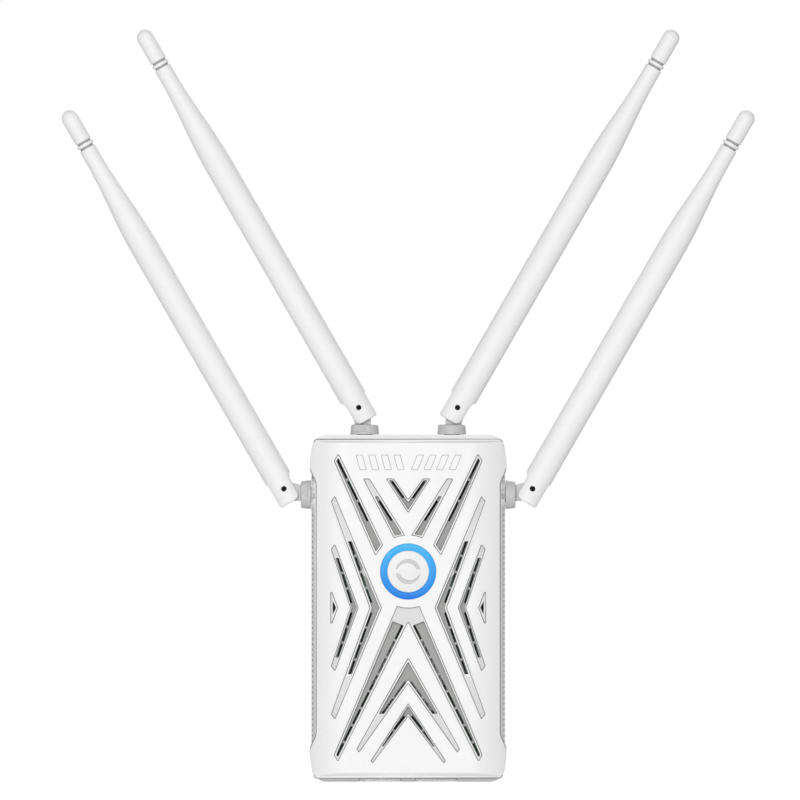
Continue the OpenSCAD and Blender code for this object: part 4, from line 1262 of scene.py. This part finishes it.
def make_aerials():
    swivel = surface_net(swivel_distance, (-6.4, -6.4, -5.4), (6.4, 6.4, 14.6), 0.22)
    ear = surface_net(ear_distance, (-6, -6, -6.9), (6, 6, 18.8), 0.24)
    tube, tip, pin, clip = sleeve_tube(), aerial_tip(), hinge_pin(), retaining_clip()
    radial, height = np.hypot(tip[0][:, 0], tip[0][:, 1]), tip[0][:, 2] - SLEEVE_L
    # faces in the tip's grooves take a darker grey: painted shade
    grooved = (radial < CAP_R - 0.5) & (height > 0) & (height < 2 * GROOVE_L + BAND_L + 0.01)
    shaded = [int(grooved[list(f)].any()) for f in tip[1]]
    pieces = [
        ("swivel_body", [swivel], "knuckle", "knuckle_plastic", "swivel", 40),
        ("clip_ring", [clip], "knuckle", "steel", "clip", 30),
        ("sleeve_shell", [ear, tube], "arm", "aerial_plastic", "sleeve", 40),
        ("tip_cap", [tip], "arm", "aerial_plastic", "tip", 40, ("groove_plastic",), shaded),
        ("hinge_pin", [pin], "arm", "pin_steel", "pin", 40),
    ]
    for place, hand in (("top", "left"), ("top", "right"), ("side", "left"), ("side", "right")):
        corner = f"{place}_{hand}"
        seat = seat_matrix(place, hand)
        arm = seat @ shift(PIN_OFFSET, 0, COLLAR_H + PIN_RISE) @ rotation("y", LEAN[place])
        for name, parts, rider, slot, node, *rest in pieces:
            placed = [moved(part, arm if rider == "arm" else seat) for part in parts]
            make_piece(f"{corner}_{name}", placed, f"{corner}_{rider}", slot, f"{corner}_{node}", *rest)


# ---- carried-over CAD nodes ----

# nodes whose look differs from that of their slot
NODE_LOOKS = {
    # the shields take the near-black painted shade so the slits read as dark; the grilles take their painted
    # shade spots
    "rf_shields": "dull_shield", "left_grille": "grille_plastic", "right_grille": "grille_plastic",
}


def finish_node(node, slot, bevel):
    """Joins a CAD node's corners, eases its edges and gives it its material."""
    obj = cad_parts[node]
    weld = obj.modifiers.new("join", "WELD")
    weld.merge_threshold = 0.000002
    if bevel:
        ease = obj.modifiers.new("ease", "BEVEL")
        ease.width = bevel * MM
        ease.segments = 2
        ease.limit_method = "ANGLE"
        ease.angle_limit = math.radians(40)
        ease.use_clamp_overlap = True
        ease.harden_normals = False
    shade = obj.modifiers.new("shade", "WEIGHTED_NORMAL")
    shade.keep_sharp = False
    obj.data.materials.clear()
    obj.data.materials.append(MATERIALS[NODE_LOOKS.get(node, slot)])


def finish_cad_nodes():
    finishes = [
        ("rear_housing", "housing_plastic", 0.35), ("left_grille", "housing_plastic", 0),
        ("right_grille", "housing_plastic", 0), ("plug_insert", "plug_plastic", 0.3),
        ("plug_blades", "brass_plate", 0.2), ("case_screws", "steel", 0.15),
        ("sync_plunger", "black_plastic", 0.1), ("sync_switch", "black_plastic", 0.15),
        ("led_board", "board", 0.1), ("ring_leds", "led_lens", 0.15), ("led_board_screws", "steel", 0.1),
        ("main_board", "board", 0.1), ("board_screws", "steel", 0.12), ("rf_shields", "shield_steel", 0.25),
        ("processor", "black_plastic", 0.1), ("heat_sink", "heat_sink_metal", 0.12),
        ("memory_chips", "black_plastic", 0.1), ("power_board", "power_board_laminate", 0.1),
        ("transformer", "transformer_tape", 0.25), ("capacitors", "capacitor_sleeve", 0.3),
        ("fuse", "fuse_ceramic", 0.2), ("mains_leads", "lead_jacket", 0), ("antenna_leads", "coax_jacket", 0),
        ("ethernet_jacks", "shield_steel", 0.2), ("jack_contacts", "gold_plate", 0.05),
        ("reset_button", "black_plastic", 0.15), ("reset_switch", "black_plastic", 0.15),
        ("mode_slider", "black_plastic", 0.2), ("mode_switch", "steel", 0.1),
    ]
    for node, slot, bevel in finishes:
        finish_node(node, slot, bevel)
    for corner in ("top_left", "top_right", "side_left", "side_right"):
        finish_node(f"{corner}_element", "gold_plate", 0.08)


# ---- stage, light and camera ----

def make_floor():
    """Round pale floor, below and behind the front view's frame."""
    parts = lathe([[0, 0], [560, 0], [575, -4], [0, -4]], 128)
    mesh = bpy.data.meshes.new("floor")
    low = cad_box[0] / MM
    mesh.from_pydata(((parts[0] + [0, 0, low[2] - 42]) * MM).tolist(), [], parts[1])
    mesh.materials.append(moulded_plastic("floor_paint", grey(0.9), 0.7, 0.2, 0.1))
    floor = bpy.data.objects.new("floor", mesh)
    bpy.context.scene.collection.objects.link(floor)


def add_area(name, place, target, size, watts):
    data = bpy.data.lights.new(name, "AREA")
    data.shape = "DISK"
    data.size = size
    data.energy = watts
    light = bpy.data.objects.new(name, data)
    light.visible_camera = False
    light.location = place
    light.rotation_euler = (Vector(target) - Vector(place)).to_track_quat("-Z", "Y").to_euler()
    bpy.context.scene.collection.objects.link(light)


def make_light():
    """A white backdrop, even ambient light and large soft lamps before and behind the object."""
    world = bpy.data.worlds.new("studio")
    bpy.context.scene.world = world
    world.use_nodes = True
    tree = world.node_tree
    tree.nodes.clear()
    ambient = add_node(tree, "Background", {"Color": (*grey(1), 1), "Strength": 0.46})
    backdrop = add_node(tree, "Background", {"Color": (*grey(1), 1), "Strength": 1.0})
    seen = tree.nodes.new("ShaderNodeLightPath").outputs["Is Camera Ray"]
    mix = add_node(tree, "MixShader", {0: seen, 1: ambient.outputs[0], 2: backdrop.outputs[0]})
    add_node(tree, "OutputWorld", {"Surface": mix.outputs["Shader"]})
    add_area("front_lamp", (-0.25, -2.2, 0.45), (0, 0, 0.05), 1.0, 26)
    add_area("back_lamp", (0.5, 2.0, 1.1), (0, 0, 0.05), 1.2, 15)


def make_camera():
    """Straight on, with a long lens, framing 312 mm."""
    framed, lens, sensor = 312.0, 1000.0, 36.0
    data = bpy.data.cameras.new("camera")
    data.lens = lens
    data.sensor_width = sensor
    data.clip_start, data.clip_end = 0.5, 40
    camera = bpy.data.objects.new("camera", data)
    distance = framed * lens / sensor
    camera.location = np.array([-3.2, FRONT_Y + 14 - distance, BODY_Z + 81.3]) * MM
    camera.rotation_euler = (math.pi / 2, 0, 0)
    bpy.context.scene.collection.objects.link(camera)
    bpy.context.scene.camera = camera


bpy.context.scene.view_settings.view_transform = "Standard"
make_camera()
make_light()
make_floor()
make_cover()
make_liner()
make_light_ring()
make_button()
make_aerials()
finish_cad_nodes()
